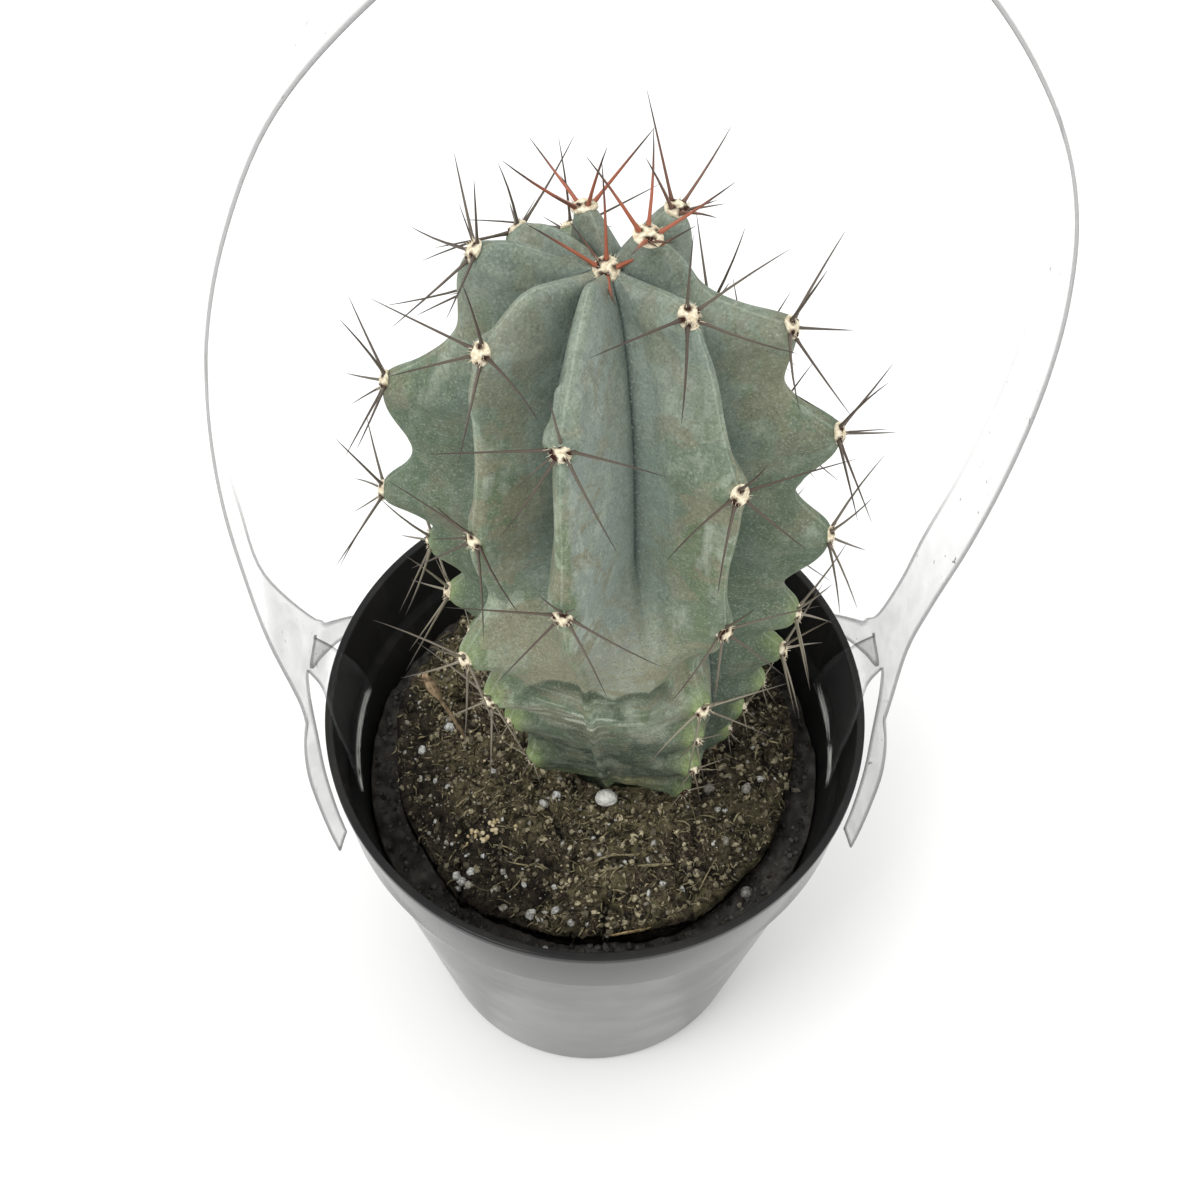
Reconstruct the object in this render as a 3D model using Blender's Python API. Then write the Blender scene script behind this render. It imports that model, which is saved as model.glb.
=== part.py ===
"""Potted organ pipe cactus with a clear hanging strap.

The pot stands on z = 0 with its axis on the Z axis, and the front of the plant
faces -Y. Azimuths are in degrees, 0 towards -Y and 90 towards +X. Sizes are in
metres, written as millimetres times MM.
"""

import math
import random

import bmesh
import bpy
import numpy as np

MM = 0.001
FIT_GAP = 0.3 * MM
SEED = 11

# Nursery pot
POT_HEIGHT = 102.2 * MM
RIM_RADIUS = 50.0 * MM
RIM_WALL = 1.5 * MM
LIP_HEIGHT = 2.5 * MM
LIP_STEP = 0.4 * MM
COLLAR_HEIGHT = 16.3 * MM
COLLAR_FOOT_RADIUS = 48.9 * MM
COLLAR_STEP = 1.4 * MM
BASE_RADIUS = 36.2 * MM
WALL = 1.3 * MM
FLOOR = 1.4 * MM
EDGE_ROUND = 0.4 * MM
POT_SEGMENTS = 56
DRAIN_HOLES = 6
DRAIN_RADIUS = 4.0 * MM
DRAIN_CIRCLE = 26.5 * MM

# Soil
SOIL_TOP = 86.0 * MM
BALL_TOP_RADIUS = 38.8 * MM
BALL_FOOT_RADIUS = 31.0 * MM
BALL_FOOT = 16.0 * MM
MIX_TOP = 76.0 * MM
SOIL_SEGMENTS = 48
SLUMP_DEPTH = 4.0 * MM
SLUMP_AZIMUTH = -38.0
SLUMP_SPREAD = 30.0

# Stem: heights are above the soil
STEM_FOOT = (5.6 * MM, 3.4 * MM)
STEM_LEAN = (-0.041, -0.014)
SHOULDER_HEIGHT = 93.0 * MM
DOME_HEIGHT = 43.0 * MM
APEX_DIMPLE = 6.5 * MM
DIMPLE_FROM = 1.74
FRONT_DIMPLE_FROM = 1.84
FOOT_CREST_RADIUS = 17.5 * MM
SHOULDER_CREST_RADIUS = 32.1 * MM
ROUND_DOME = 0.81
SLOPING_DOME = 1.35
NECK_RADIUS = 13.5 * MM
NECK_HEIGHT = 9.0 * MM
PLUG_DEPTH = 9.0 * MM
PLUG_FOOT_RADIUS = 10.0 * MM
GROOVE_AT_FOOT = 0.16
GROOVE_AT_TOP = 0.48
GROOVE_FOLLOWS = 0.65
LEAST_GROOVE_SHARE = 0.2
CREST_HALF_WIDTH = 1.0 * MM
CREST_CAP = 0.9 * MM
FLANK_BULGE = 0.35 * MM
NOTCH_SHARE = 0.22
NOTCH_SKEW = 1.5
NOTCH_SOFTNESS = 0.8
SOFT_BELOW = 1.1
SHARP_ABOVE = 1.4
NOTCH_WIDENING = 0.12
TOOTH_WIDENING = 1.2 * MM
TOOTH_REACH = 4.0 * MM
HIGHEST_DIMPLE_START = 1.96
DIMPLE_ABOVE_TOOTH = 0.02
LOWEST_TOOTH = 7.0 * MM
STEM_ROWS_BELOW = 25
STEM_ROWS_DOME = 14

# Each rib: azimuth at the foot, azimuth at the crown, how it falls from the
# crown (larger is straighter), and its upper teeth from the crown down as
# (height, how far the tooth stands off the common profile, depth of the notch
# above it), in mm. Teeth below the last one follow regular_teeth.
RIBS = {
    "front": (-10, -13, ROUND_DOME, [(135.995, -0.1, 0), (122.9, 0, 0.8), (93.1, 0, 1.6)]),
    "front_right": (32, 39, ROUND_DOME, [(133.1, 1.4, 0), (111.3, -1.9, 2.6), (76.4, -3.1, 1.8),
                                         (47.0, -3.2, 4.8), (34.6, -1.8, 2.2), (22.9, 0.5, 1.8),
                                         (9.7, 1.3, 1.6)]),
    "right": (73, 78, ROUND_DOME, [(135.8, 0, 0), (124.6, -0.6, 6.3), (105.2, 1.0, 6.2),
                                   (80.8, 1.6, 6.0), (57.5, 0.4, 3.9), (45.0, 0.9, 4.2),
                                   (32.7, 0.4, 2.2)]),
    "back_right": (119, 116, ROUND_DOME, [(135.1, 0.3, 0), (117.0, -13.5, 5.4), (99.0, -9.5, 3.0),
                                          (81.0, -4.5, 3.0), (64.0, -2.0, 3.0)]),
    "back": (166, 204, SLOPING_DOME, [(132.2, 0, 0), (110.0, 0, 4.0)]),
    "back_left": (207, 228, SLOPING_DOME, [(122.4, 0, 0), (101.0, 0, 4.0)]),
    "left": (271, 273, ROUND_DOME, [(132.1, 0, 0), (106.3, 0.4, 7.5), (79.8, 3.9, 4.6),
                                    (65.7, -0.8, 3.0)]),
    "front_left": (313, 314, ROUND_DOME, [(128.7, 0.2, 0), (92.3, -5.2, 3.0), (63.8, 1.5, 5.0),
                                          (46.7, 0.6, 4.4), (35.1, -0.5, 3.0), (16.0, 0.5, 2.8)]),
}
FADING_RIB = "front"
FADE_FROM = 86.0 * MM
FADE_TO = 62.0 * MM
FACE_SHARE = 0.86

# Areoles and spines
AREOLE_RADIUS = 1.6 * MM
AREOLE_HEIGHT = 0.7 * MM
AREOLE_DEPTH = 1.5 * MM
AREOLE_SIDES = 6
SPINE_RADIUS = 0.42 * MM
SPINE_ROOT = 1.0 * MM
YOUNG_WITHIN = 11.0 * MM
OLD_BELOW = 40.0 * MM
# Bearing round the areole (0 to the side, 90 up the rib), rise off the rib's
# face, both in degrees, and length in mm
SPINES = [(90, 38, 12.5), (4, 18, 14.5), (176, 18, 14.5), (-52, 22, 12.5), (-128, 22, 12.5)]
YOUNG_SPINES = [(100, 50, 14.0), (20, 45, 13.5), (170, 42, 12.5), (-60, 45, 11.5)]
OLD_SPINES = [(10, 25, 6.5), (170, 25, 6.5), (-90, 20, 5.5)]
SPINE_WANDER = 9.0
AREOLE_OUTWARD = 0.4
AREOLE_UPWARD = 0.25
CROWN_UPWARD = 4.0
CROWN_FROM = 1.7

# Clear strap
STRAP_HALF_WIDTH = 7.0 * MM
STRAP_THICKNESS = 0.45 * MM
STRAP_TWIST = -0.2
# The loop's centre line (x, z) in mm, from the left web to the right one
LOOP_PATH = [(-54.0, 117.0), (-56.4, 132.0), (-57.3, 152.0), (-57.3, 172.0), (-55.6, 192.0),
             (-52.2, 210.0), (-46.6, 227.0), (-38.7, 243.5), (-29.0, 256.0), (-16.5, 267.5),
             (-1.0, 276.0), (16.0, 277.5), (30.0, 270.5), (40.2, 260.5), (49.8, 246.0),
             (55.2, 232.5), (58.2, 217.0), (59.3, 200.0), (58.7, 180.0), (56.9, 161.0),
             (54.4, 144.0), (52.9, 130.0), (52.6, 119.0)]
LOOP_STEPS = 2
LEFT_CLIP_OFFSET = 0.0 * MM
RIGHT_CLIP_OFFSET = 3.5 * MM

# Small things on the soil
LUMP_PLACE = (2.5 * MM, -13.1 * MM)
LUMP_SIZE = (4.5 * MM, 3.7 * MM, 3.6 * MM)
STALK_FOOT = (-24.8 * MM, -0.3 * MM)
STALK_RADIUS = 0.45 * MM
STALK_PATH = [(0.0, 0.0, -4.0), (0.0, 0.0, 0.0), (-2.0, 0.6, 7.0), (-4.5, 1.6, 14.0), (-6.8, 2.8, 20.0)]
STALK_HEAD = [1.2, 2.0, 2.5, 1.9, 0.7]


def clear_scene():
    """Remove every object, so that the file holds only the model."""
    for item in list(bpy.data.objects):
        bpy.data.objects.remove(item, do_unlink=True)


def material(name, color, roughness, metallic=0.0, alpha=1.0):
    """A Principled material with the given colour and finish."""
    made = bpy.data.materials.new(name)
    made.use_nodes = True
    shader = made.node_tree.nodes["Principled BSDF"]
    shader.inputs["Base Color"].default_value = (*color, 1.0)
    shader.inputs["Roughness"].default_value = roughness
    shader.inputs["Metallic"].default_value = metallic
    shader.inputs["Alpha"].default_value = alpha
    made.diffuse_color = (*color, alpha)
    return made


def add_object(name, vertices, faces, finish=None, collection=None):
    """One mesh object from vertices in metres, smooth shaded with sharp edges kept."""
    mesh = bpy.data.meshes.new(name)
    mesh.from_pydata([tuple(map(float, v)) for v in vertices], [], faces)
    mesh.validate()
    mesh.shade_smooth()
    mesh.set_sharp_from_angle(angle=math.radians(40))
    made = bpy.data.objects.new(name, mesh)
    (collection or bpy.context.scene.collection).objects.link(made)
    if finish is not None:
        mesh.materials.append(finish)
    return made


def add_cutter(name, vertices, faces):
    """A closed shape that only cuts others."""
    made = add_object(name, vertices, faces)
    made.hide_render = True
    made.display_type = "WIRE"
    return made


def cut(target, cutter):
    """Take the cutter's volume out of the target."""
    boolean = target.modifiers.new("cut_" + cutter.name, "BOOLEAN")
    boolean.operation = "DIFFERENCE"
    boolean.solver = "MANIFOLD"
    boolean.object = cutter


def direction(azimuth):
    """Horizontal unit vectors (outward, sideways) at an azimuth in degrees."""
    angle = math.radians(azimuth)
    outward = np.array([math.sin(angle), -math.cos(angle), 0.0])
    sideways = np.array([math.cos(angle), math.sin(angle), 0.0])
    return outward, sideways


def ramp(value, low, high):
    """0 below low and 1 above high, with a smooth step between them."""
    share = np.clip((np.asarray(value, float) - low) / (high - low), 0.0, 1.0)
    return share * share * (3.0 - 2.0 * share)


def ring_faces(rows, columns):
    """Quads between rows of a closed ring grid, facing out when rows rise."""
    faces = []
    for row in range(rows - 1):
        for column in range(columns):
            following = (column + 1) % columns
            low = row * columns
            high = low + columns
            faces.append((low + column, low + following, high + following, high + column))
    return faces


def capped_rings(grid):
    """Vertices and faces of a solid from rings listed from its foot upwards."""
    rows, columns, _ = grid.shape
    vertices = list(grid.reshape(-1, 3))
    faces = ring_faces(rows, columns)
    foot = len(vertices)
    vertices.append(grid[0].mean(axis=0))
    crown = len(vertices)
    vertices.append(grid[-1].mean(axis=0))
    last = (rows - 1) * columns
    for column in range(columns):
        following = (column + 1) % columns
        faces.append((foot, following, column))
        faces.append((crown, last + column, last + following))
    return vertices, faces


def cylinder_rings(center, radii, heights, sides):
    """Rings of a turned solid about a vertical line, from foot to top."""
    turn = np.arange(sides) * 2.0 * math.pi / sides
    circle = np.stack([np.cos(turn), np.sin(turn), np.zeros(sides)], axis=1)
    grid = np.stack([circle * radius for radius in radii])
    grid[:, :, 2] = np.asarray(heights)[:, None]
    grid[:, :, 0] += center[0]
    grid[:, :, 1] += center[1]
    return grid


# Pot

def wall_outside(height):
    """Outer radius of the pot's body below its collar."""
    top = COLLAR_FOOT_RADIUS - COLLAR_STEP
    share = height / (POT_HEIGHT - COLLAR_HEIGHT)
    return BASE_RADIUS + (top - BASE_RADIUS) * share


def wall_inside(height):
    """Inner radius of the pot's body below its collar."""
    return wall_outside(height) - WALL


def pot_profile():
    """(radius, height) from the floor's centre over the lip to the foot's centre."""
    collar_foot = POT_HEIGHT - COLLAR_HEIGHT
    inner_rim = RIM_RADIUS - RIM_WALL
    lip_foot = POT_HEIGHT - LIP_HEIGHT
    return [
        (0.0, FLOOR),
        (wall_inside(FLOOR) - EDGE_ROUND, FLOOR),
        (wall_inside(3 * FLOOR), 3 * FLOOR),
        (wall_inside(collar_foot - COLLAR_STEP), collar_foot - COLLAR_STEP),
        (COLLAR_FOOT_RADIUS - RIM_WALL, collar_foot + EDGE_ROUND),
        (inner_rim, POT_HEIGHT - EDGE_ROUND),
        (inner_rim + EDGE_ROUND, POT_HEIGHT),
        (RIM_RADIUS - EDGE_ROUND, POT_HEIGHT),
        (RIM_RADIUS, POT_HEIGHT - EDGE_ROUND),
        (RIM_RADIUS, lip_foot + EDGE_ROUND),
        (RIM_RADIUS - LIP_STEP, lip_foot),
        (COLLAR_FOOT_RADIUS, collar_foot + EDGE_ROUND),
        (COLLAR_FOOT_RADIUS - EDGE_ROUND, collar_foot),
        (wall_outside(collar_foot - EDGE_ROUND), collar_foot - EDGE_ROUND),
        (BASE_RADIUS, FLOOR),
        (BASE_RADIUS - 2 * EDGE_ROUND, 0.0),
        (0.0, 0.0),
    ]


def build_pot():
    """Thin-walled nursery pot with a stepped collar, a lip and drain holes."""
    profile = [(radius, 0.0, height) for radius, height in pot_profile()]
    mesh = bpy.data.meshes.new("nursery_pot")
    mesh.from_pydata(profile, [(i, i + 1) for i in range(len(profile) - 1)], [])
    pot = bpy.data.objects.new("nursery_pot", mesh)
    bpy.context.scene.collection.objects.link(pot)
    screw = pot.modifiers.new("turn", "SCREW")
    screw.axis = "Z"
    screw.steps = POT_SEGMENTS
    screw.render_steps = POT_SEGMENTS
    screw.use_merge_vertices = True
    screw.merge_threshold = 0.00001
    screw.use_smooth_shade = True
    mesh.materials.append(material("pot_plastic", (0.02, 0.02, 0.02), 0.3))
    for index in range(DRAIN_HOLES):
        outward, _ = direction(360.0 / DRAIN_HOLES * (index + 0.27))
        rings = cylinder_rings(outward * DRAIN_CIRCLE, [DRAIN_RADIUS] * 2, [-FLOOR, 3 * FLOOR], 14)
        cut(pot, add_cutter(f"drain_{index}", *capped_rings(rings)))
    return pot


# Soil

def soil_height(x, y):
    """Height of the root ball's crust: low waves, and a slumped front left side."""
    x = np.asarray(x, float) / MM
    y = np.asarray(y, float) / MM
    waves = 0.5 * np.sin(0.31 * x + 0.7) + 0.4 * np.sin(0.27 * y + 0.23 * x + 2.0)
    waves = waves + 0.3 * np.sin(0.63 * x - 0.51 * y)
    azimuth = np.degrees(np.arctan2(x, -y))
    reach = np.hypot(x, y) * MM / BALL_TOP_RADIUS
    slump = np.exp(-((azimuth - SLUMP_AZIMUTH) / SLUMP_SPREAD) ** 2) * ramp(reach, 0.55, 0.9)
    shoulder = 1.5 * MM * ramp(reach, 0.78, 1.0)
    return SOIL_TOP + waves * MM - SLUMP_DEPTH * slump - shoulder


def ball_radius(height):
    """Radius of the root ball's plain side."""
    share = (height - BALL_FOOT) / (SOIL_TOP - BALL_FOOT)
    return BALL_FOOT_RADIUS + (BALL_TOP_RADIUS - BALL_FOOT_RADIUS) * share


def build_root_ball(finish):
    """Root ball with an uneven crust and plain holes for the stem and a stalk."""
    turn = np.arange(SOIL_SEGMENTS) * 2.0 * math.pi / SOIL_SEGMENTS
    cosine, sine = np.cos(turn), np.sin(turn)
    ragged = 1.0 + 0.012 * np.sin(5 * turn) + 0.010 * np.sin(11 * turn + 1.0)
    rings = []
    for height in (BALL_FOOT, 45.0 * MM, MIX_TOP - 6.0 * MM):
        radius = ball_radius(height)
        rings.append(np.stack([radius * cosine, radius * sine, np.full(SOIL_SEGMENTS, height)], 1))
    for share in (1.0, 0.96, 0.86, 0.72, 0.56, 0.38, 0.18):
        radius = BALL_TOP_RADIUS * share * ragged
        x, y = radius * cosine, radius * sine
        drop = 2.0 * MM if share == 1.0 else 0.0
        rings.append(np.stack([x, y, soil_height(x, y) - drop], axis=1))
    ball = add_object("root_ball", *capped_rings(np.stack(rings)), finish)
    hole = NECK_RADIUS + FIT_GAP
    depth = PLUG_DEPTH + FIT_GAP
    heights = [SOIL_TOP - depth, SOIL_TOP - 0.35 * depth, SOIL_TOP + 6.0 * MM]
    rings = cylinder_rings(STEM_FOOT, [PLUG_FOOT_RADIUS + 2 * FIT_GAP, hole, hole], heights, 40)
    cut(ball, add_cutter("stem_hole", *capped_rings(rings)))
    hole = STALK_RADIUS + FIT_GAP
    rings = cylinder_rings(STALK_FOOT, [hole, hole], [SOIL_TOP - 5.0 * MM, SOIL_TOP + 6.0 * MM], 10)
    cut(ball, add_cutter("stalk_hole", *capped_rings(rings)))
    return ball


def build_loose_mix(finish):
    """Loose dark mix: a cup that fills the pot under and round the root ball."""
    turn = np.arange(SOIL_SEGMENTS) * 2.0 * math.pi / SOIL_SEGMENTS
    floor = FLOOR + FIT_GAP

    def ring(radius, height):
        height = np.broadcast_to(height, turn.shape)
        return np.stack([radius * np.cos(turn), radius * np.sin(turn), height], axis=1)

    bumps = MIX_TOP + 0.8 * MM * np.sin(7 * turn) + 0.5 * MM * np.sin(13 * turn + 2.0)
    middle = 0.5 * (wall_inside(MIX_TOP) + ball_radius(MIX_TOP))
    rings = [
        ring(wall_inside(3 * FLOOR) - 3 * FIT_GAP, floor),
        ring(wall_inside(3 * FLOOR + floor) - FIT_GAP, 3 * FLOOR + floor),
        ring(wall_inside(MIX_TOP - 2.0 * MM) - FIT_GAP, MIX_TOP - 2.0 * MM),
        ring(wall_inside(MIX_TOP - 2.0 * MM) - 2 * FIT_GAP, bumps),
        ring(middle, bumps + 0.6 * MM * np.sin(9 * turn + 1.0)),
        ring(ball_radius(MIX_TOP) + 4 * FIT_GAP, bumps),
        ring(ball_radius(MIX_TOP - 6.0 * MM) + 2 * FIT_GAP, MIX_TOP - 6.0 * MM),
        ring(ball_radius(BALL_FOOT) + FIT_GAP, BALL_FOOT - FIT_GAP),
    ]
    return add_object("loose_mix", *capped_rings(np.stack(rings)), finish)


# Stem

def regular_teeth(height):
    """Teeth below a given height: closer together and shallower towards the foot."""
    teeth = []
    gap = 7.0 * MM + 0.13 * height
    while height - gap > LOWEST_TOOTH:
        height -= gap
        teeth.append((height, 0.0, NOTCH_SHARE * gap))
        gap = 7.0 * MM + 0.13 * height
    return teeth


def crest_profile(course, power=ROUND_DOME, dimple_from=DIMPLE_FROM):
    """Crest line: course runs 0 at the soil, 1 at the shoulder, 2 at the apex."""
    course = np.asarray(course, float)
    low = np.clip(course, 0.0, 1.0)
    lift = np.clip(course - 1.0, 0.0, 1.0) * math.pi / 2
    radius = FOOT_CREST_RADIUS
    radius = radius + (SHOULDER_CREST_RADIUS - FOOT_CREST_RADIUS) * np.sin(low * math.pi / 2) ** 0.9
    radius = radius * np.maximum(np.cos(lift), 0.0) ** power
    height = SHOULDER_HEIGHT * low + DOME_HEIGHT * np.sin(lift) ** power
    return radius, height - APEX_DIMPLE * ramp(course, dimple_from, 2.0)


def groove_profile(course, power=ROUND_DOME):
    """Bottom line of the grooves, on the same course as the crest."""
    course = np.asarray(course, float)
    radius, _ = crest_profile(course, power)
    low = np.clip(course, 0.0, 1.0)
    lift = np.clip(course - 1.0, 0.0, 1.0) * math.pi / 2
    share = GROOVE_AT_FOOT + (GROOVE_AT_TOP - GROOVE_AT_FOOT) * ramp(low, 0.15, 0.9)
    dome = DOME_HEIGHT - APEX_DIMPLE
    height = SHOULDER_HEIGHT * low + dome * np.sin(lift) ** power
    return radius * (1.0 - share), height


def course_at(height, power):
    """The course value where the crest has a given height above the soil."""
    if height <= SHOULDER_HEIGHT:
        return height / SHOULDER_HEIGHT
    share = ((height - SHOULDER_HEIGHT) / DOME_HEIGHT) ** (1.0 / power)
    return 1.0 + math.asin(min(share, 1.0)) / (math.pi / 2)


def axis_point(height):
    """The leaning axis at a height above the soil."""
    x = STEM_FOOT[0] + STEM_LEAN[0] * height
    y = STEM_FOOT[1] + STEM_LEAN[1] * height
    return np.stack([x + 0.0 * height, y + 0.0 * height, SOIL_TOP + height], axis=-1)


class Rib:
    """One rib: its teeth, and its crest and groove lines along the course."""

    def __init__(self, name):
        self.name = name
        self.foot_azimuth, self.crown_azimuth, self.power, upper = RIBS[name]
        teeth = [(height * MM, offset * MM, notch * MM) for height, offset, notch in upper]
        if name != FADING_RIB:
            teeth += regular_teeth(teeth[-1][0])
        teeth.sort()
        self.courses = np.array([course_at(height, self.power) for height, _, _ in teeth])
        self.offsets = np.array([offset for _, offset, _ in teeth])
        self.notches = np.array([notch for _, _, notch in teeth])
        stands_up = name != FADING_RIB and self.courses[-1] > DIMPLE_FROM
        stands_up = stands_up or self.power == SLOPING_DOME
        above = min(self.courses[-1] + DIMPLE_ABOVE_TOOTH, HIGHEST_DIMPLE_START)
        usual = FRONT_DIMPLE_FROM if name == FADING_RIB else DIMPLE_FROM
        self.dimple_from = above if stands_up else usual

    def azimuth(self, course):
        """Azimuth of the crest along the course, in degrees."""
        share = np.clip(np.asarray(course, float) / 1.8, 0.0, 1.0)
        return self.foot_azimuth + (self.crown_azimuth - self.foot_azimuth) * share

    def notch(self, course):
        """How far the crest dips below the line through its teeth."""
        course = np.asarray(course, float)
        dip = np.zeros_like(course)
        for start, end, depth in zip(self.courses[:-1], self.courses[1:], self.notches[:-1]):
            phase = np.clip((end - course) / (end - start), 0.0, 1.0)
            softness = 1.0 + NOTCH_SOFTNESS * (1.0 - float(ramp(end, SOFT_BELOW, SHARP_ABOVE)))
            wave = np.sin(math.pi * phase ** NOTCH_SKEW) ** softness
            dip = dip + depth * np.where((course > start) & (course < end), wave, 0.0)
        return dip

    def standing(self, course):
        """How far the line through the teeth stands off the common profile."""
        return np.interp(course, self.courses, self.offsets)

    def tooth_share(self, course):
        """1 at a tooth and 0 away from it."""
        gap = np.abs(np.asarray(course, float)[:, None] - self.courses[None]).min(axis=1)
        return np.exp(-(gap * SHOULDER_HEIGHT / TOOTH_REACH) ** 2)

    def lines(self, course):
        """Crest and groove as (radius, height) arrays, and the crest's notch."""
        radius, height = crest_profile(course, self.power, self.dimple_from)
        low_radius, low_height = groove_profile(course, self.power)
        face = FACE_SHARE * radius
        stand = ramp(height, FADE_TO, FADE_FROM) if self.name == FADING_RIB else 1.0
        step = np.hypot(radius - low_radius, height - low_height) + 1e-9
        notch = self.notch(course) * stand
        push = (self.standing(course) - notch) / step
        top = np.stack([radius + push * (radius - low_radius), height + push * (height - low_height)])
        if self.name == FADING_RIB:
            top[0] = face + (top[0] - face) * stand
        bottom = np.stack([low_radius, low_height])
        return squeeze_neck(top), squeeze_neck(bottom), notch


def squeeze_neck(line):
    """Narrow a line of the stem to the round neck where it enters the soil."""
    radius, height = line
    share = ramp(height, 0.0, NECK_HEIGHT)
    return np.stack([NECK_RADIUS + (radius - NECK_RADIUS) * share, height])


def point_at(line, azimuth):
    """World points of a (radius, height) line at an azimuth."""
    radius, height = line
    angle = np.radians(azimuth)
    outward = np.stack([np.sin(angle), -np.cos(angle), 0.0 * angle], axis=-1)
    return axis_point(height) + outward * radius[..., None]


def groove_between(rib, following, course):
    """The groove's points halfway between two ribs."""
    gap = (following.azimuth(course) - rib.azimuth(course)) % 360.0
    line = np.stack(groove_profile(course, 0.5 * (rib.power + following.power)))
    standing = 0.5 * (rib.standing(course) + following.standing(course))
    followed = line[0] + GROOVE_FOLLOWS * np.minimum(standing, 0.0)
    line[0] = np.maximum(followed, LEAST_GROOVE_SHARE * line[0])
    line = squeeze_neck(line)
    if FADING_RIB in (rib.name, following.name):
        radius, height = squeeze_neck(np.stack(crest_profile(course)))
        stand = ramp(height, FADE_TO, FADE_FROM)
        line[0] = (1.0 - stand) * 0.985 * FACE_SHARE * radius + stand * line[0]
        line[0] = np.where(height < NECK_HEIGHT, np.minimum(line[0], NECK_RADIUS), line[0])
    return point_at(line, rib.azimuth(course) + gap / 2)


def rib_columns(rib, before, after, course):
    """The eight columns of grid points that make one rib, from groove to flank."""
    top, bottom, notch = rib.lines(course)
    azimuth = rib.azimuth(course)
    crest = point_at(top, azimuth)
    floor = point_at(bottom, azimuth)
    inward = floor - crest
    inward /= np.linalg.norm(inward, axis=1)[:, None] + 1e-9
    angle = np.radians(azimuth)
    side = np.stack([np.cos(angle), np.sin(angle), 0.0 * angle], axis=-1)
    crowd = ramp(top[0], 0.0, 13.0 * MM) * ramp(top[1], -1.0 * MM, 3.0 * MM)
    half = CREST_HALF_WIDTH + NOTCH_WIDENING * notch + TOOTH_WIDENING * rib.tooth_share(course)
    half = half[:, None] * crowd[:, None]
    cap = CREST_CAP * crowd[:, None]
    left_groove = groove_between(before, rib, course)
    right_groove = groove_between(rib, after, course)
    left_edge = crest - side * half + inward * cap
    right_edge = crest + side * half + inward * cap
    bulge = FLANK_BULGE * crowd[:, None]
    left_flank = 0.5 * (left_groove + left_edge) - side * bulge
    right_flank = 0.5 * (right_groove + right_edge) + side * bulge
    left_round = crest - side * half * 0.62 + inward * cap * 0.3
    right_round = crest + side * half * 0.62 + inward * cap * 0.3
    return [left_groove, left_flank, left_edge, left_round, crest, right_round, right_edge, right_flank]


def ordered_ribs():
    """The ribs in order of azimuth."""
    return sorted((Rib(name) for name in RIBS), key=lambda rib: rib.foot_azimuth % 360)


def stem_grid(ribs):
    """Rings of the stem from its buried plug to just under the apex."""
    below = np.linspace(0.0, 1.0, STEM_ROWS_BELOW, endpoint=False)
    dome = np.linspace(1.0, 1.975, STEM_ROWS_DOME)
    course = np.concatenate([below, dome])
    columns = []
    for index, rib in enumerate(ribs):
        columns += rib_columns(rib, ribs[index - 1], ribs[(index + 1) % len(ribs)], course)
    grid = np.stack(columns, axis=1)
    plug = []
    for share, radius in ((1.0, PLUG_FOOT_RADIUS), (0.35, NECK_RADIUS - FIT_GAP)):
        ring = grid[0] - axis_point(np.array(0.0))
        ring = ring / np.linalg.norm(ring, axis=1)[:, None] * radius
        plug.append(axis_point(np.array(0.0)) + ring - np.array([0.0, 0.0, PLUG_DEPTH * share]))
    return np.concatenate([np.stack(plug), grid])


def tooth_frames(ribs):
    """Every areole: place, outward, upward and sideways directions, height, and whether young."""
    frames = []
    for rib in ribs:
        for course in rib.courses:
            run = np.array([course - 0.02, course, course + 0.02])
            top, bottom, _ = rib.lines(run)
            points = point_at(top, rib.azimuth(run))
            inner = point_at(bottom, rib.azimuth(run))
            up = np.array(points[2] - points[0])
            outward, sideways = direction(float(rib.azimuth(course)))
            out = (points[1] - inner[1]) / np.linalg.norm(points[1] - inner[1])
            upward = AREOLE_UPWARD + CROWN_UPWARD * float(ramp(course, CROWN_FROM, HIGHEST_DIMPLE_START))
            out = out + AREOLE_OUTWARD * outward + np.array([0.0, 0.0, upward])
            out /= np.linalg.norm(out)
            up = np.cross(out, np.cross(up, out))
            up /= np.linalg.norm(up)
            young = course > 1.0 and top[0][1] < YOUNG_WITHIN
            frames.append((points[1], out, up, np.cross(up, out), float(top[1][1]), young))
    return frames


def areole(frame, collection):
    """A low woolly pad sunk into the tip of a tooth."""
    place, out, up, side, height, _ = frame
    size = AREOLE_RADIUS * (0.7 if height < OLD_BELOW else 1.0)
    turn = np.arange(AREOLE_SIDES) * 2.0 * math.pi / AREOLE_SIDES
    rings = []
    for share, lift in ((1.0, -AREOLE_DEPTH), (0.72, AREOLE_HEIGHT)):
        circle = np.outer(np.cos(turn), side) - np.outer(np.sin(turn), up)
        rings.append(place + circle * size * share + out * lift)
    ring = list(range(AREOLE_SIDES))
    faces = ring_faces(2, AREOLE_SIDES)
    faces += [tuple(ring[::-1]), tuple(corner + AREOLE_SIDES for corner in ring)]
    vertices = np.concatenate(rings)
    return add_object("areole", vertices, [face[::-1] for face in faces], None, collection)


def spine_set(height, young):
    """The spines that an areole carries."""
    if young:
        return YOUNG_SPINES
    if height < OLD_BELOW:
        return OLD_SPINES
    return SPINES


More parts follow.
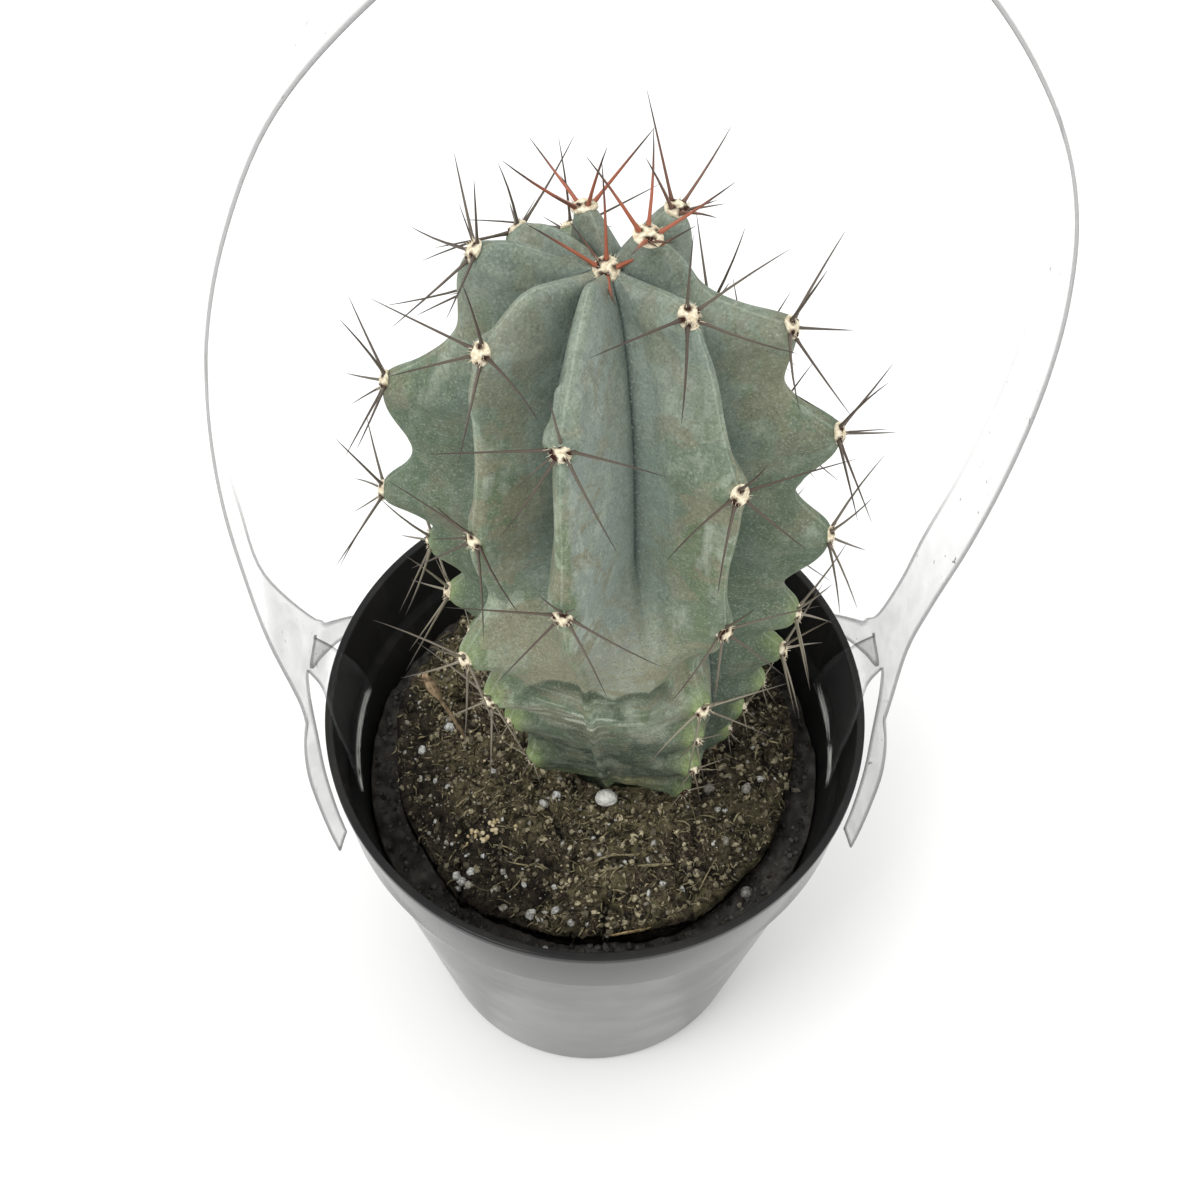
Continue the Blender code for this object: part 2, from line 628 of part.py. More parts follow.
def spine(frame, bearing, rise, length, collection):
    """A three-sided needle from inside the tooth to its point."""
    place, out, up, side, height, _ = frame
    radius = SPINE_RADIUS * (0.7 if height < OLD_BELOW else 1.0)
    around = math.cos(math.radians(bearing)) * side + math.sin(math.radians(bearing)) * up
    along = math.cos(math.radians(rise)) * around + math.sin(math.radians(rise)) * out
    if (place + along * length)[2] < SOIL_TOP + 3.0 * MM:
        along[2] = 0.15
    along /= np.linalg.norm(along)
    across = np.cross(along, out)
    across /= np.linalg.norm(across)
    other = np.cross(along, across)
    root = place - out * SPINE_ROOT
    vertices = []
    for corner in range(3):
        angle = corner * 2.0 * math.pi / 3.0
        vertices.append(root + radius * (math.cos(angle) * across + math.sin(angle) * other))
    vertices.append(place + along * length)
    faces = [(2, 1, 0), (0, 1, 3), (1, 2, 3), (2, 0, 3)]
    return add_object("spine", vertices, faces, None, collection)


def unite(target, collection):
    """Join a collection's solids to the target by one Boolean, then remove them."""
    union = target.modifiers.new("growth", "BOOLEAN")
    union.operation = "UNION"
    union.solver = "MANIFOLD"
    union.operand_type = "COLLECTION"
    union.collection = collection
    graph = bpy.context.evaluated_depsgraph_get()
    joined = bpy.data.meshes.new_from_object(target.evaluated_get(graph))
    target.modifiers.clear()
    target.data = joined
    for item in list(collection.objects):
        bpy.data.objects.remove(item, do_unlink=True)
    bpy.data.collections.remove(collection)


def build_cactus(finish):
    """The ribbed stem with its areoles and spines, as one body."""
    draws = random.Random(SEED)
    ribs = ordered_ribs()
    cactus = add_object("cactus", *capped_rings(stem_grid(ribs)), finish)
    growth = bpy.data.collections.new("growth")
    bpy.context.scene.collection.children.link(growth)
    for frame in tooth_frames(ribs):
        areole(frame, growth)
        for bearing, rise, length in spine_set(frame[4], frame[5]):
            bearing += draws.uniform(-SPINE_WANDER, SPINE_WANDER)
            rise += draws.uniform(-SPINE_WANDER, SPINE_WANDER) * 0.6
            spine(frame, bearing, rise, length * MM * draws.uniform(0.88, 1.08), growth)
    unite(cactus, growth)
    return cactus


# Clear strap

def smooth_path(points, steps):
    """Catmull-Rom curve through points, with so many steps between neighbours."""
    points = np.array(points, float)
    ends = [2 * points[0] - points[1], *points, 2 * points[-1] - points[-2]]
    course = []
    for index in range(len(points) - 1):
        before, start, end, after = ends[index:index + 4]
        for share in np.arange(steps) / steps:
            course.append(0.5 * (2 * start + (end - before) * share
                                 + (2 * before - 5 * start + 4 * end - after) * share ** 2
                                 + (3 * start - before - 3 * end + after) * share ** 3))
    course.append(points[-1])
    return np.array(course)


def clip_point(side, offset, along, height, reach):
    """A point of a clip: along the rim (positive to the front), at a reach from the axis."""
    angle = (along - offset) / reach
    return (side * reach * math.cos(angle), -reach * math.sin(angle), height)


# Rows of a clip as (height, reach, places along the rim) in mm, from the strap down
WEB_ROWS = [(117.0, 52.9, (-8.2, -6.0, -5.5, -3.2, -0.8, 0.3, 8.2)),
            (111.0, 52.2, (-11.0, -7.6, -7.1, -3.6, -0.1, 0.9, 11.0))]
TONGUE_ROWS = [(107.5, 50.0, (-7.6, -3.2, 1.2)), (104.2, 48.8, (-8.2, -2.2, 3.8)),
               (101.0, 47.75, (-9.0, -1.0, 7.0)), (96.0, 46.4, (-9.6, -0.2, 9.6)),
               (91.0, 45.8, (-10.2, 0.4, 11.2)), (86.5, 45.3, (-10.6, 1.0, 12.6))]
LEG_ROWS = [(106.5, 52.7, (3.2, 13.2)), (102.0, 52.5, (8.2, 16.8)), (97.5, 52.2, (14.0, 20.6)),
            (93.0, 51.8, (19.8, 24.4)), (90.3, 51.5, (23.4, 26.4))]


def build_strap(finish):
    """Clear strap: a loop over the plant with a three-legged clip at each end."""
    vertices, faces = [], []

    def add_row(points):
        first = len(vertices)
        vertices.extend(tuple(point) for point in points)
        return list(range(first, first + len(points)))

    def bridge(upper, lower, flip):
        for left in range(len(upper) - 1):
            quad = (upper[left], upper[left + 1], lower[left + 1], lower[left])
            faces.append(quad[::-1] if flip else quad)

    path = smooth_path(LOOP_PATH, LOOP_STEPS) * MM
    widths = np.array([-1.0, -0.62, -0.55, -0.3, -0.05, 0.08, 1.0]) * STRAP_HALF_WIDTH
    loop_rows = []
    for index, (x, z) in enumerate(path):
        share = index / (len(path) - 1)
        middle = LEFT_CLIP_OFFSET + (RIGHT_CLIP_OFFSET - LEFT_CLIP_OFFSET) * share
        twist = STRAP_TWIST * float(ramp(0.42 - share, 0.0, 0.25))
        loop_rows.append(add_row([(x - w * twist, middle - w, z) for w in widths]))
    for start, end in zip(loop_rows[:-1], loop_rows[1:]):
        bridge(start, end, True)

    for side, offset, strap_end, flip in ((-1, LEFT_CLIP_OFFSET, loop_rows[0], False),
                                          (1, RIGHT_CLIP_OFFSET, loop_rows[-1], True)):
        upper = strap_end
        for height, reach, places in WEB_ROWS:
            row = add_row([clip_point(side, offset, a * MM, height * MM, reach * MM) for a in places])
            bridge(upper, row, flip)
            upper = row
        tongue = upper[2:5]
        for height, reach, places in TONGUE_ROWS:
            row = add_row([clip_point(side, offset, a * MM, height * MM, reach * MM) for a in places])
            bridge(tongue, row, flip)
            tongue = row
        for sign, leg in ((1, upper[5:7]), (-1, upper[0:2])):
            for height, reach, (inner, outer) in LEG_ROWS:
                places = (inner, outer) if sign > 0 else (-outer, -inner)
                row = add_row([clip_point(side, offset, a * MM, height * MM, reach * MM) for a in places])
                bridge(leg, row, flip)
                leg = row
    strap = add_object("clear_strap", vertices, faces, finish)
    solid = strap.modifiers.new("thickness", "SOLIDIFY")
    solid.thickness = STRAP_THICKNESS
    solid.offset = 0.0
    solid.use_even_offset = True
    return strap


# Small things on the soil

def build_lump(finish):
    """A rounded white lump that rests on the root ball at the stem's foot."""
    draws = random.Random(SEED)
    shape = bmesh.new()
    bmesh.ops.create_icosphere(shape, subdivisions=2, radius=0.5)
    for vertex in shape.verts:
        vertex.co *= draws.uniform(0.92, 1.0)
        vertex.co.x *= LUMP_SIZE[0]
        vertex.co.y *= LUMP_SIZE[1]
        vertex.co.z *= LUMP_SIZE[2]
    bmesh.ops.convex_hull(shape, input=shape.verts)
    loose = [vertex for vertex in shape.verts if not vertex.link_faces]
    bmesh.ops.delete(shape, geom=loose, context="VERTS")
    spread = np.linspace(-0.35, 0.35, 7)
    x, y = np.meshgrid(LUMP_PLACE[0] + spread * LUMP_SIZE[0], LUMP_PLACE[1] + spread * LUMP_SIZE[1])
    seat = float(np.max(soil_height(x, y))) + FIT_GAP
    lowest = min(vertex.co.z for vertex in shape.verts)
    for vertex in shape.verts:
        vertex.co.x += LUMP_PLACE[0]
        vertex.co.y += LUMP_PLACE[1]
        vertex.co.z += seat - lowest
    mesh = bpy.data.meshes.new("white_lump")
    shape.to_mesh(mesh)
    shape.free()
    mesh.materials.append(finish)
    lump = bpy.data.objects.new("white_lump", mesh)
    bpy.context.scene.collection.objects.link(lump)
    return lump


def build_stalk(finish):
    """A dry stalk with a seed head, standing in its hole in the root ball."""
    path = smooth_path(STALK_PATH, 3) * MM
    swell = np.concatenate([np.ones(len(path) - len(STALK_HEAD)), STALK_HEAD])
    rings = cylinder_rings(STALK_FOOT, STALK_RADIUS * swell, SOIL_TOP + path[:, 2], 8)
    rings[:, :, :2] += path[:, None, :2]
    return add_object("dry_stalk", *capped_rings(rings), finish)


def build():
    """Make every piece of the potted plant."""
    clear_scene()
    build_pot()
    build_root_ball(material("mossy_soil", (0.09, 0.07, 0.04), 0.95))
    build_loose_mix(material("dark_mix", (0.025, 0.022, 0.02), 0.95))
    build_cactus(material("stem_skin", (0.21, 0.25, 0.2), 0.6))
    build_strap(material("clear_plastic", (0.86, 0.87, 0.88), 0.12, 0.0, 0.35))
    build_lump(material("perlite", (0.82, 0.81, 0.77), 0.85))
    build_stalk(material("dry_stem", (0.34, 0.27, 0.19), 0.85))


build()
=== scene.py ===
"""Looks of a potted organ pipe cactus with a clear hanging strap.

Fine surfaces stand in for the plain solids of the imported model. Shapes are
worked out in millimetres and laid into their meshes in metres: the pot's axis
is the Z axis, the ground is z = 0 and the front of the plant faces -Y.
Azimuths are in degrees, 0 towards -Y and 90 towards +X.
"""

import logging
import math
import random
from dataclasses import dataclass, field
from enum import Enum, IntEnum

import bmesh
import bpy
import numpy as np
from mathutils import Matrix, Vector


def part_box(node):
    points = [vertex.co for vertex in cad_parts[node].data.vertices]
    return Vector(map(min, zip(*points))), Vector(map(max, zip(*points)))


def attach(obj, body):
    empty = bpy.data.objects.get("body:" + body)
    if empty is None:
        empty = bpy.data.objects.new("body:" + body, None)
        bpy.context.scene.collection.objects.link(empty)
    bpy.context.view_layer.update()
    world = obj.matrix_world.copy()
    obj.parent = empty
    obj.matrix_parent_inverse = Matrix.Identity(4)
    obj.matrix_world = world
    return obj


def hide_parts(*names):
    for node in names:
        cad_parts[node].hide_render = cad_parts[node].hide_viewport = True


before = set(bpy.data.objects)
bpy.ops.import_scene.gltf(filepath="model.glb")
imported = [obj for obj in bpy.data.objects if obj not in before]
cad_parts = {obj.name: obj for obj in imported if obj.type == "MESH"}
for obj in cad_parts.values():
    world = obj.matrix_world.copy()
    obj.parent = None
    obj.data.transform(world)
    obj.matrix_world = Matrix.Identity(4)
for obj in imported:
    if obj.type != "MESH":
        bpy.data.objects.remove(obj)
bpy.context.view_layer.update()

Array = np.ndarray
Color = tuple[float, float, float, float]
Triple = tuple[float, float, float]

MM = 0.001
log = logging.getLogger("potted_cactus")

# What the looks share with the solids, in millimetres
POT_HEIGHT = 102.2
COLLAR_HEIGHT = 16.3
SOIL_TOP = 86.0
MIX_TOP = 76.0
FIT_GAP = 0.3
STEM_FOOT = (5.6, 3.4)
NECK_RADIUS = 13.5
PLUG_DEPTH = 9.0
PLUG_FOOT_RADIUS = 10.0


class Seed(IntEnum):
    """Starts of the random draws, by what they shape or place."""

    CRUST_RELIEF = 5
    SPINE_WANDER = 11
    SKIN_RELIEF = 21
    MIX_CRUMBS = 31
    MIX_CRUMB_SHAPES = 32
    CRUMB_PLACES = 41
    CRUMBS = 42
    CRUMB_SHAPES = 43
    FIBRE_PLACES = 51
    FIBRES = 52
    PERLITE = 61
    PERLITE_PLACES = 62
    GRAIN_SHAPES = 63
    LUMP_SHAPES = 64
    OUTER_LUMP_SHAPES = 65
    GRANULE_SHAPES = 66
    SPINES = 71
    HAIRS = 72
    BROKEN_HIGHLIGHT = 81
    LUMP_RELIEF = 91
    BRISTLES = 92


# Numbers and arrays

def smooth_step(value: Array | float, low: float, high: float) -> Array:
    """Share of the way from low to high, eased at both ends.

    Formula: t = (value - low) / (high - low) held in 0..1, then t squared times 3 - 2 t.

    Args:
        value: numbers to place between low and high.
        low: where the result starts to leave 0.
        high: where the result reaches 1.

    Returns:
        An array of shares from 0 to 1.
    """
    share = np.clip((np.asarray(value, float) - low) / (high - low), 0.0, 1.0)
    return share * share * (3.0 - 2.0 * share)


def bell(distance: Array, width: float) -> Array:
    """Bell curve: e to the power of minus (distance / width) squared."""
    return np.exp(-(np.asarray(distance, float) / width) ** 2)


def unit(vectors: Array) -> Array:
    """The vectors of the last axis, each divided by its length."""
    return vectors / (np.linalg.norm(vectors, axis=-1, keepdims=True) + 1e-9)


def outward(azimuth: Array | float) -> Array:
    """Horizontal unit vectors away from the axis at azimuths in degrees."""
    angle = np.radians(np.asarray(azimuth, float))
    return np.stack([np.sin(angle), -np.cos(angle), 0.0 * angle], axis=-1)


def sideways(azimuth: Array | float) -> Array:
    """Horizontal unit vectors towards a rising azimuth, in degrees."""
    angle = np.radians(np.asarray(azimuth, float))
    return np.stack([np.cos(angle), np.sin(angle), 0.0 * angle], axis=-1)


def turns(count: int) -> Array:
    """Angles in radians of even steps round a circle."""
    return np.arange(count) * 2.0 * math.pi / count


def level_circle(count: int) -> Array:
    """(count, 3) unit points round the Z axis."""
    turn = turns(count)
    return np.stack([np.cos(turn), np.sin(turn), 0.0 * turn], axis=-1)


@dataclass(frozen=True)
class Relief:
    """Smooth random relief, the same on every run.

    Attributes:
        seed: start of the draws on the lattice.
        side: lattice points along each side before it repeats.
    """

    seed: int
    side: int = 24

    def at(self, points: Array, cell: float) -> Array:
        """Value noise at points.

        Formula: draws from -1 to 1 at the corners of cubes of side cell, blended
        between the eight corners round a point by eased shares of the way along each axis.

        Args:
            points: places, with x, y and z on the last axis.
            cell: side of a cube, in the unit of the points.

        Returns:
            One number from -1 to 1 for each point.
        """
        draws = np.random.default_rng(self.seed).uniform(-1.0, 1.0, (self.side,) * 3)
        place = points / cell
        low = np.floor(place).astype(int)
        share = place - low
        share = share * share * (3.0 - 2.0 * share)
        total = np.zeros(points.shape[:-1])
        for corner in np.ndindex(2, 2, 2):
            index = (low + np.array(corner)) % self.side
            weight = np.prod(np.where(np.array(corner) == 1, share, 1.0 - share), axis=-1)
            total += weight * draws[index[..., 0], index[..., 1], index[..., 2]]
        return total

    def layered(self, points: Array, cell: float, layers: int, fall: float = 0.5) -> Array:
        """Sum of layers of noise, each with cells half as wide and fall times as high."""
        return sum(self.at(points + 17.3 * k, cell / 2 ** k) * fall ** k for k in range(layers))


def through(points: Array, samples: Array) -> Array:
    """Smooth curves through the points of each row.

    Formula: cubic Hermite pieces whose slopes are the chord slopes on both sides,
    each weighted by the other side's step, with steps as the square roots of chords.

    Args:
        points: (rows, points, 3).
        samples: places along each curve, where 2.5 is halfway from point 2 to point 3.

    Returns:
        (rows, samples, 3) points.
    """
    chord = np.diff(points, axis=1)
    step = np.linalg.norm(chord, axis=2, keepdims=True) ** 0.5 + 1e-6
    slope = chord / step
    inner = slope[:, 1:] * step[:, :-1] + slope[:, :-1] * step[:, 1:]
    inner = inner / (step[:, 1:] + step[:, :-1])
    tangent = np.concatenate([slope[:, :1], inner, slope[:, -1:]], axis=1)
    index = np.minimum(samples.astype(int), points.shape[1] - 2)
    f = (samples - index)[None, :, None]
    span = step[:, index]
    eased = 3 * f ** 2 - 2 * f ** 3
    turning = (f ** 3 - 2 * f ** 2 + f) * tangent[:, index] + (f ** 3 - f ** 2) * tangent[:, index + 1]
    return (1 - eased) * points[:, index] + eased * points[:, index + 1] + span * turning


# Surfaces

@dataclass
class Surface:
    """A mesh under work.

    Attributes:
        points: (n, 3) places in millimetres.
        faces: arrays of faces with three or four corners each.
        values: one number for each point, by name.
    """

    points: Array
    faces: list[Array]
    values: dict[str, Array] = field(default_factory=dict)

    @staticmethod
    def joined(parts: list["Surface"]) -> "Surface":
        """All parts as one surface, with 0 for a value that a part lacks."""
        names = {name for part in parts for name in part.values}
        starts = np.cumsum([0] + [len(part.points) for part in parts])
        faces = [face + start for part, start in zip(parts, starts) for face in part.faces]
        values = {name: np.concatenate([part.values.get(name, np.zeros(len(part.points)))
                                        for part in parts]) for name in names}
        return Surface(np.concatenate([part.points for part in parts]), faces, values)

    def welded(self, tolerance: float = 0.01) -> "Surface":
        """The surface with points that lie together made one."""
        keys = np.round(self.points / tolerance).astype(np.int64)
        _, first, back = np.unique(keys, axis=0, return_index=True, return_inverse=True)
        back = back.reshape(-1)
        values = {name: value[first] for name, value in self.values.items()}
        return Surface(self.points[first], [back[face] for face in self.faces], values)

    def piece(self, name: str, material: bpy.types.Material, smooth: bool = True) -> bpy.types.Object:
        """A mesh object with this surface in metres and one material.

        Args:
            name: the piece's name.
            material: its finish.
            smooth: whether its faces are shaded smooth.

        Returns:
            The object, at the origin.
        """
        mesh = bpy.data.meshes.new(name)
        faces = [face for group in self.faces for face in group.tolist()]
        mesh.from_pydata((self.points * MM).tolist(), [], faces)
        if smooth:
            mesh.shade_smooth()
        for key, value in self.values.items():
            layer = mesh.attributes.new(key, "FLOAT", "POINT")
            layer.data.foreach_set("value", np.asarray(value, np.float32))
        mesh.materials.append(material)
        made = bpy.data.objects.new(name, mesh)
        bpy.context.scene.collection.objects.link(made)
        return made

    def dressed(self, name: str, material: bpy.types.Material, node: str, slot: str,
                smooth: bool = True) -> None:
        """Makes the piece of this surface and dresses it.

        Args:
            name: the piece's name.
            material: its finish.
            node: the solid that it stands for.
            slot: not used.
            smooth: whether its faces are shaded smooth.
        """
        dress(self.piece(name, material, smooth), node)


def ring_quads(rows: int, columns: int, closed: bool = True) -> Array:
    """Faces between the rows of a grid, counted row by row.

    Args:
        rows: rows of points.
        columns: points in a row.
        closed: whether the last column joins the first.

    Returns:
        (faces, 4) corners, facing out where the rows rise and the columns turn left.
    """
    row = (np.arange(rows - 1) * columns)[:, None]
    column = np.arange(columns if closed else columns - 1)[None, :]
    following = (column + 1) % columns
    corners = [row + column, row + following, row + columns + following, row + columns + column]
    return np.stack(corners, axis=-1).reshape(-1, 4)


def closed_faces(rows: int, columns: int) -> list[Array]:
    """Faces of rings with a pole at each end.

    Formula: quads between neighbouring rings, and a fan round each pole, where the poles
    are the two points that follow those of the rings.

    Args:
        rows: rings.
        columns: points in a ring.

    Returns:
        The quads and the triangles.
    """
    column = np.arange(columns)
    following = (column + 1) % columns
    foot = np.full(columns, rows * columns)
    last = (rows - 1) * columns
    fans = np.concatenate([np.stack([foot, following, column], 1),
                           np.stack([foot + 1, last + column, last + following], 1)])
    return [ring_quads(rows, columns), fans]


def capped(grid: Array, values: dict[str, Array] | None = None) -> Surface:
    """A closed surface from rings, with the mean of each end ring as its pole.

    Args:
        grid: (rings, points, 3) from the foot upwards.
        values: (rings, points) numbers by name.

    Returns:
        The closed surface.
    """
    points = np.concatenate([grid.reshape(-1, 3), grid[:1].mean(1), grid[-1:].mean(1)])
    kept = {name: np.concatenate([v.reshape(-1), v[:1].mean(1), v[-1:].mean(1)])
            for name, v in (values or {}).items()}
    return Surface(points, closed_faces(*grid.shape[:2]), kept)


def tubes(paths: Array, radii: Array, sides: int, values: dict[str, Array]) -> Surface:
    """Closed tubes along many paths at once.

    Formula: at each point of a path, a circle of the given radius square to the
    path's direction, and a pole at the centre of both end circles.

    Args:
        paths: (tubes, steps, 3) centre lines.
        radii: (tubes, steps) radii.
        sides: corners of a circle.
        values: (tubes, steps) numbers by name.

    Returns:
        One surface with every tube.
    """
    count, steps, _ = paths.shape
    along = unit(np.gradient(paths, axis=1))
    helper = np.where(np.abs(along[:, :1, 2:]) > 0.8, [[[1.0, 0.0, 0.0]]], [[[0.0, 0.0, 1.0]]])
    across = unit(np.cross(along, helper))
    other = np.cross(along, across)
    turn = turns(sides)
    circle = across[:, :, None] * np.cos(turn)[:, None] + other[:, :, None] * np.sin(turn)[:, None]
    rings = paths[:, :, None] + circle * radii[:, :, None, None]
    points = np.concatenate([rings.reshape(count, -1, 3), paths[:, :1], paths[:, -1:]], axis=1)
    start = (np.arange(count) * points.shape[1])[:, None, None]
    faces = [(group + start).reshape(-1, group.shape[1]) for group in closed_faces(steps, sides)]
    kept = {name: np.concatenate([np.repeat(v, sides, axis=1), v[:, :1], v[:, -1:]], axis=1).reshape(-1)
            for name, v in values.items()}
    return Surface(points.reshape(-1, 3), faces, kept)


def round_shape(subdivisions: int) -> tuple[Array, Array]:
    """Points and triangles of a unit icosphere."""
    shape = bmesh.new()
    bmesh.ops.create_icosphere(shape, subdivisions=subdivisions, radius=1.0)
    points = np.array([vertex.co[:] for vertex in shape.verts])
    faces = np.array([[vertex.index for vertex in face.verts] for face in shape.faces])
    shape.free()
    return points, faces


def grains(places: Array, sizes: Array, seed: int, detail: int = 1,
           rough: float = 0.3, fall: float = 1.0) -> Surface:
    """Many small lumps, each turned and dented in its own way.

    Formula: an icosphere whose points move in or out by seeded draws, stretched to
    the lump's size, turned about a random axis and set at its place.

    Args:
        places: (lumps, 3) centres.
        sizes: (lumps, 3) half sizes.
        seed: start of the draws.
        detail: subdivisions of the icosphere.
        rough: how far a point may move in, as a share of the radius.
        fall: power of the tones' even draws, above 1 for mostly dark lumps.

    Returns:
        One surface, with a value "tone" from 0 to 1 for each lump.
    """
    draws = np.random.default_rng(seed)
    base, faces = round_shape(detail)
    count = len(places)
    dent = 1.0 - rough * draws.random((count, len(base), 1))
    turn = unit(draws.normal(size=(count, 4)))
    w, x, y, z = turn.T
    rows = [[1 - 2 * (y * y + z * z), 2 * (x * y - z * w), 2 * (x * z + y * w)],
            [2 * (x * y + z * w), 1 - 2 * (x * x + z * z), 2 * (y * z - x * w)],
            [2 * (x * z - y * w), 2 * (y * z + x * w), 1 - 2 * (x * x + y * y)]]
    matrix = np.moveaxis(np.array(rows), 2, 0)
    shape = np.einsum("nij,nkj->nki", matrix, base[None] * dent * sizes[:, None])
    points = places[:, None] + shape
    start = (np.arange(count) * len(base))[:, None, None]
    tone = np.repeat(draws.random(count) ** fall, len(base))
    return Surface(points.reshape(-1, 3), [(faces[None] + start).reshape(-1, 3)], {"tone": tone})


# Shader maths

def paint(red: int, green: int, blue: int) -> Color:
    """Linear colour of an 8-bit display colour.

    Formula: each channel / 255, plus 0.055, / 1.055, to the power 2.4.

    Args:
        red: red from 0 to 255.
        green: green from 0 to 255.
        blue: blue from 0 to 255.

    Returns:
        Linear red, green, blue and an alpha of 1.
    """
    return (*(((channel / 255 + 0.055) / 1.055) ** 2.4 for channel in (red, green, blue)), 1.0)


class Flow:
    """A number that flows through a material's nodes: arithmetic on it adds Math nodes."""

    def __init__(self, bench: "Bench", socket: bpy.types.NodeSocket) -> None:
        """Wraps an output socket of the bench's tree."""
        self.bench = bench
        self.socket = socket

    def _math(self, operation: str, first: "Flow | float", second: "Flow | float") -> "Flow":
        """A Math node on two numbers."""
        return self.bench.flow("ShaderNodeMath", 0, {"operation": operation}, {0: first, 1: second})

    def __add__(self, other: "Flow | float") -> "Flow":
        """Sum."""
        return self._math("ADD", self, other)

    def __rsub__(self, other: float) -> "Flow":
        """Difference from a plain number."""
        return self._math("SUBTRACT", other, self)

    def __mul__(self, other: "Flow | float") -> "Flow":
        """Product."""
        return self._math("MULTIPLY", self, other)

    def __pow__(self, other: "Flow | float") -> "Flow":
        """Power."""
        return self._math("POWER", self, other)

    def most(self, other: "Flow | float") -> "Flow":
        """The larger of the two."""
        return self._math("MAXIMUM", self, other)

    def between(self, low: float, high: float, at_low: float = 0.0, at_high: float = 1.0) -> "Flow":
        """Eased share of the way from low to high, scaled to at_low..at_high."""
        return self.bench.flow("ShaderNodeMapRange", "Result", {"interpolation_type": "SMOOTHSTEP"},
                               {"Value": self, "From Min": low, "From Max": high,
                                "To Min": at_low, "To Max": at_high})


class Bench:
    """One material and the nodes that are put into it."""

    def __init__(self, name: str) -> None:
        """Starts an empty material."""
        self.material = bpy.data.materials.new(name)
        self.material.use_nodes = True
        self.tree = self.material.node_tree
        self.tree.nodes.clear()
        self.place = self.flow("ShaderNodeTexCoord", "Object", {}, {})

    def node(self, kind: str, settings: dict, sockets: dict) -> bpy.types.Node:
        """Adds a node.

        Args:
            kind: the node's type.
            settings: its properties by name.
            sockets: values or flows of its input sockets, by name or number.

        Returns:
            The node.
        """
        made = self.tree.nodes.new(kind)
        for key, setting in settings.items():
            setattr(made, key, setting)
        for key, given in sockets.items():
            if isinstance(given, Flow):
                self.tree.links.new(given.socket, made.inputs[key])
            else:
                made.inputs[key].default_value = given
        return made

    def flow(self, kind: str, output: str | int, settings: dict, sockets: dict) -> Flow:
        """A node's output as a flow; its arguments are those of node."""
        return Flow(self, self.node(kind, settings, sockets).outputs[output])

    def noise(self, scale: float, detail: float = 2.0, roughness: float = 0.5,
              distortion: float = 0.0, stretch: Triple | None = None) -> Flow:
        """Noise over the object, about 0.5 in the middle, with features 1 / scale metres wide."""
        place = self.place
        if stretch is not None:
            place = self.flow("ShaderNodeMapping", "Vector", {}, {"Vector": place, "Scale": stretch})
        return self.flow("ShaderNodeTexNoise", 0, {}, {
            "Vector": place, "Scale": scale, "Detail": detail, "Roughness": roughness,
            "Distortion": distortion})

    def value(self, name: str) -> Flow:
        """A number that the piece's mesh carries."""
        return self.flow("ShaderNodeAttribute", "Fac", {"attribute_name": name}, {})

    def mix(self, share: Flow | float, first: Flow | Color, second: Flow | Color,
            kind: str = "MIX") -> Flow:
        """Blend of two colours, or of a colour with another by a kind such as MULTIPLY."""
        settings = {"data_type": "RGBA", "blend_type": kind}
        return self.flow("ShaderNodeMix", 2, settings, {0: share, 6: first, 7: second})

    def layers(self, base: Flow | Color, *coats: tuple[Flow | float, Color]) -> Flow:
        """A base colour under coats of (share, colour), each mixed over those before it."""
        for share, color in coats:
            base = self.mix(share, base, color)
        return base

    def bump(self, height: Flow, millimetres: float, strength: float = 1.0) -> Flow:
        """A normal tilted by a relief so many millimetres high."""
        return self.flow("ShaderNodeBump", 0, {}, {
            "Height": height, "Distance": millimetres * MM, "Strength": strength})

    def finish(self, sockets: dict) -> bpy.types.Material:
        """Ends the material with a Principled shader that has these values and flows."""
        shader = self.node("ShaderNodeBsdfPrincipled", {}, sockets)
        output = self.node("ShaderNodeOutputMaterial", {}, {})
        self.tree.links.new(shader.outputs[0], output.inputs[0])
        return self.material


# Finishes

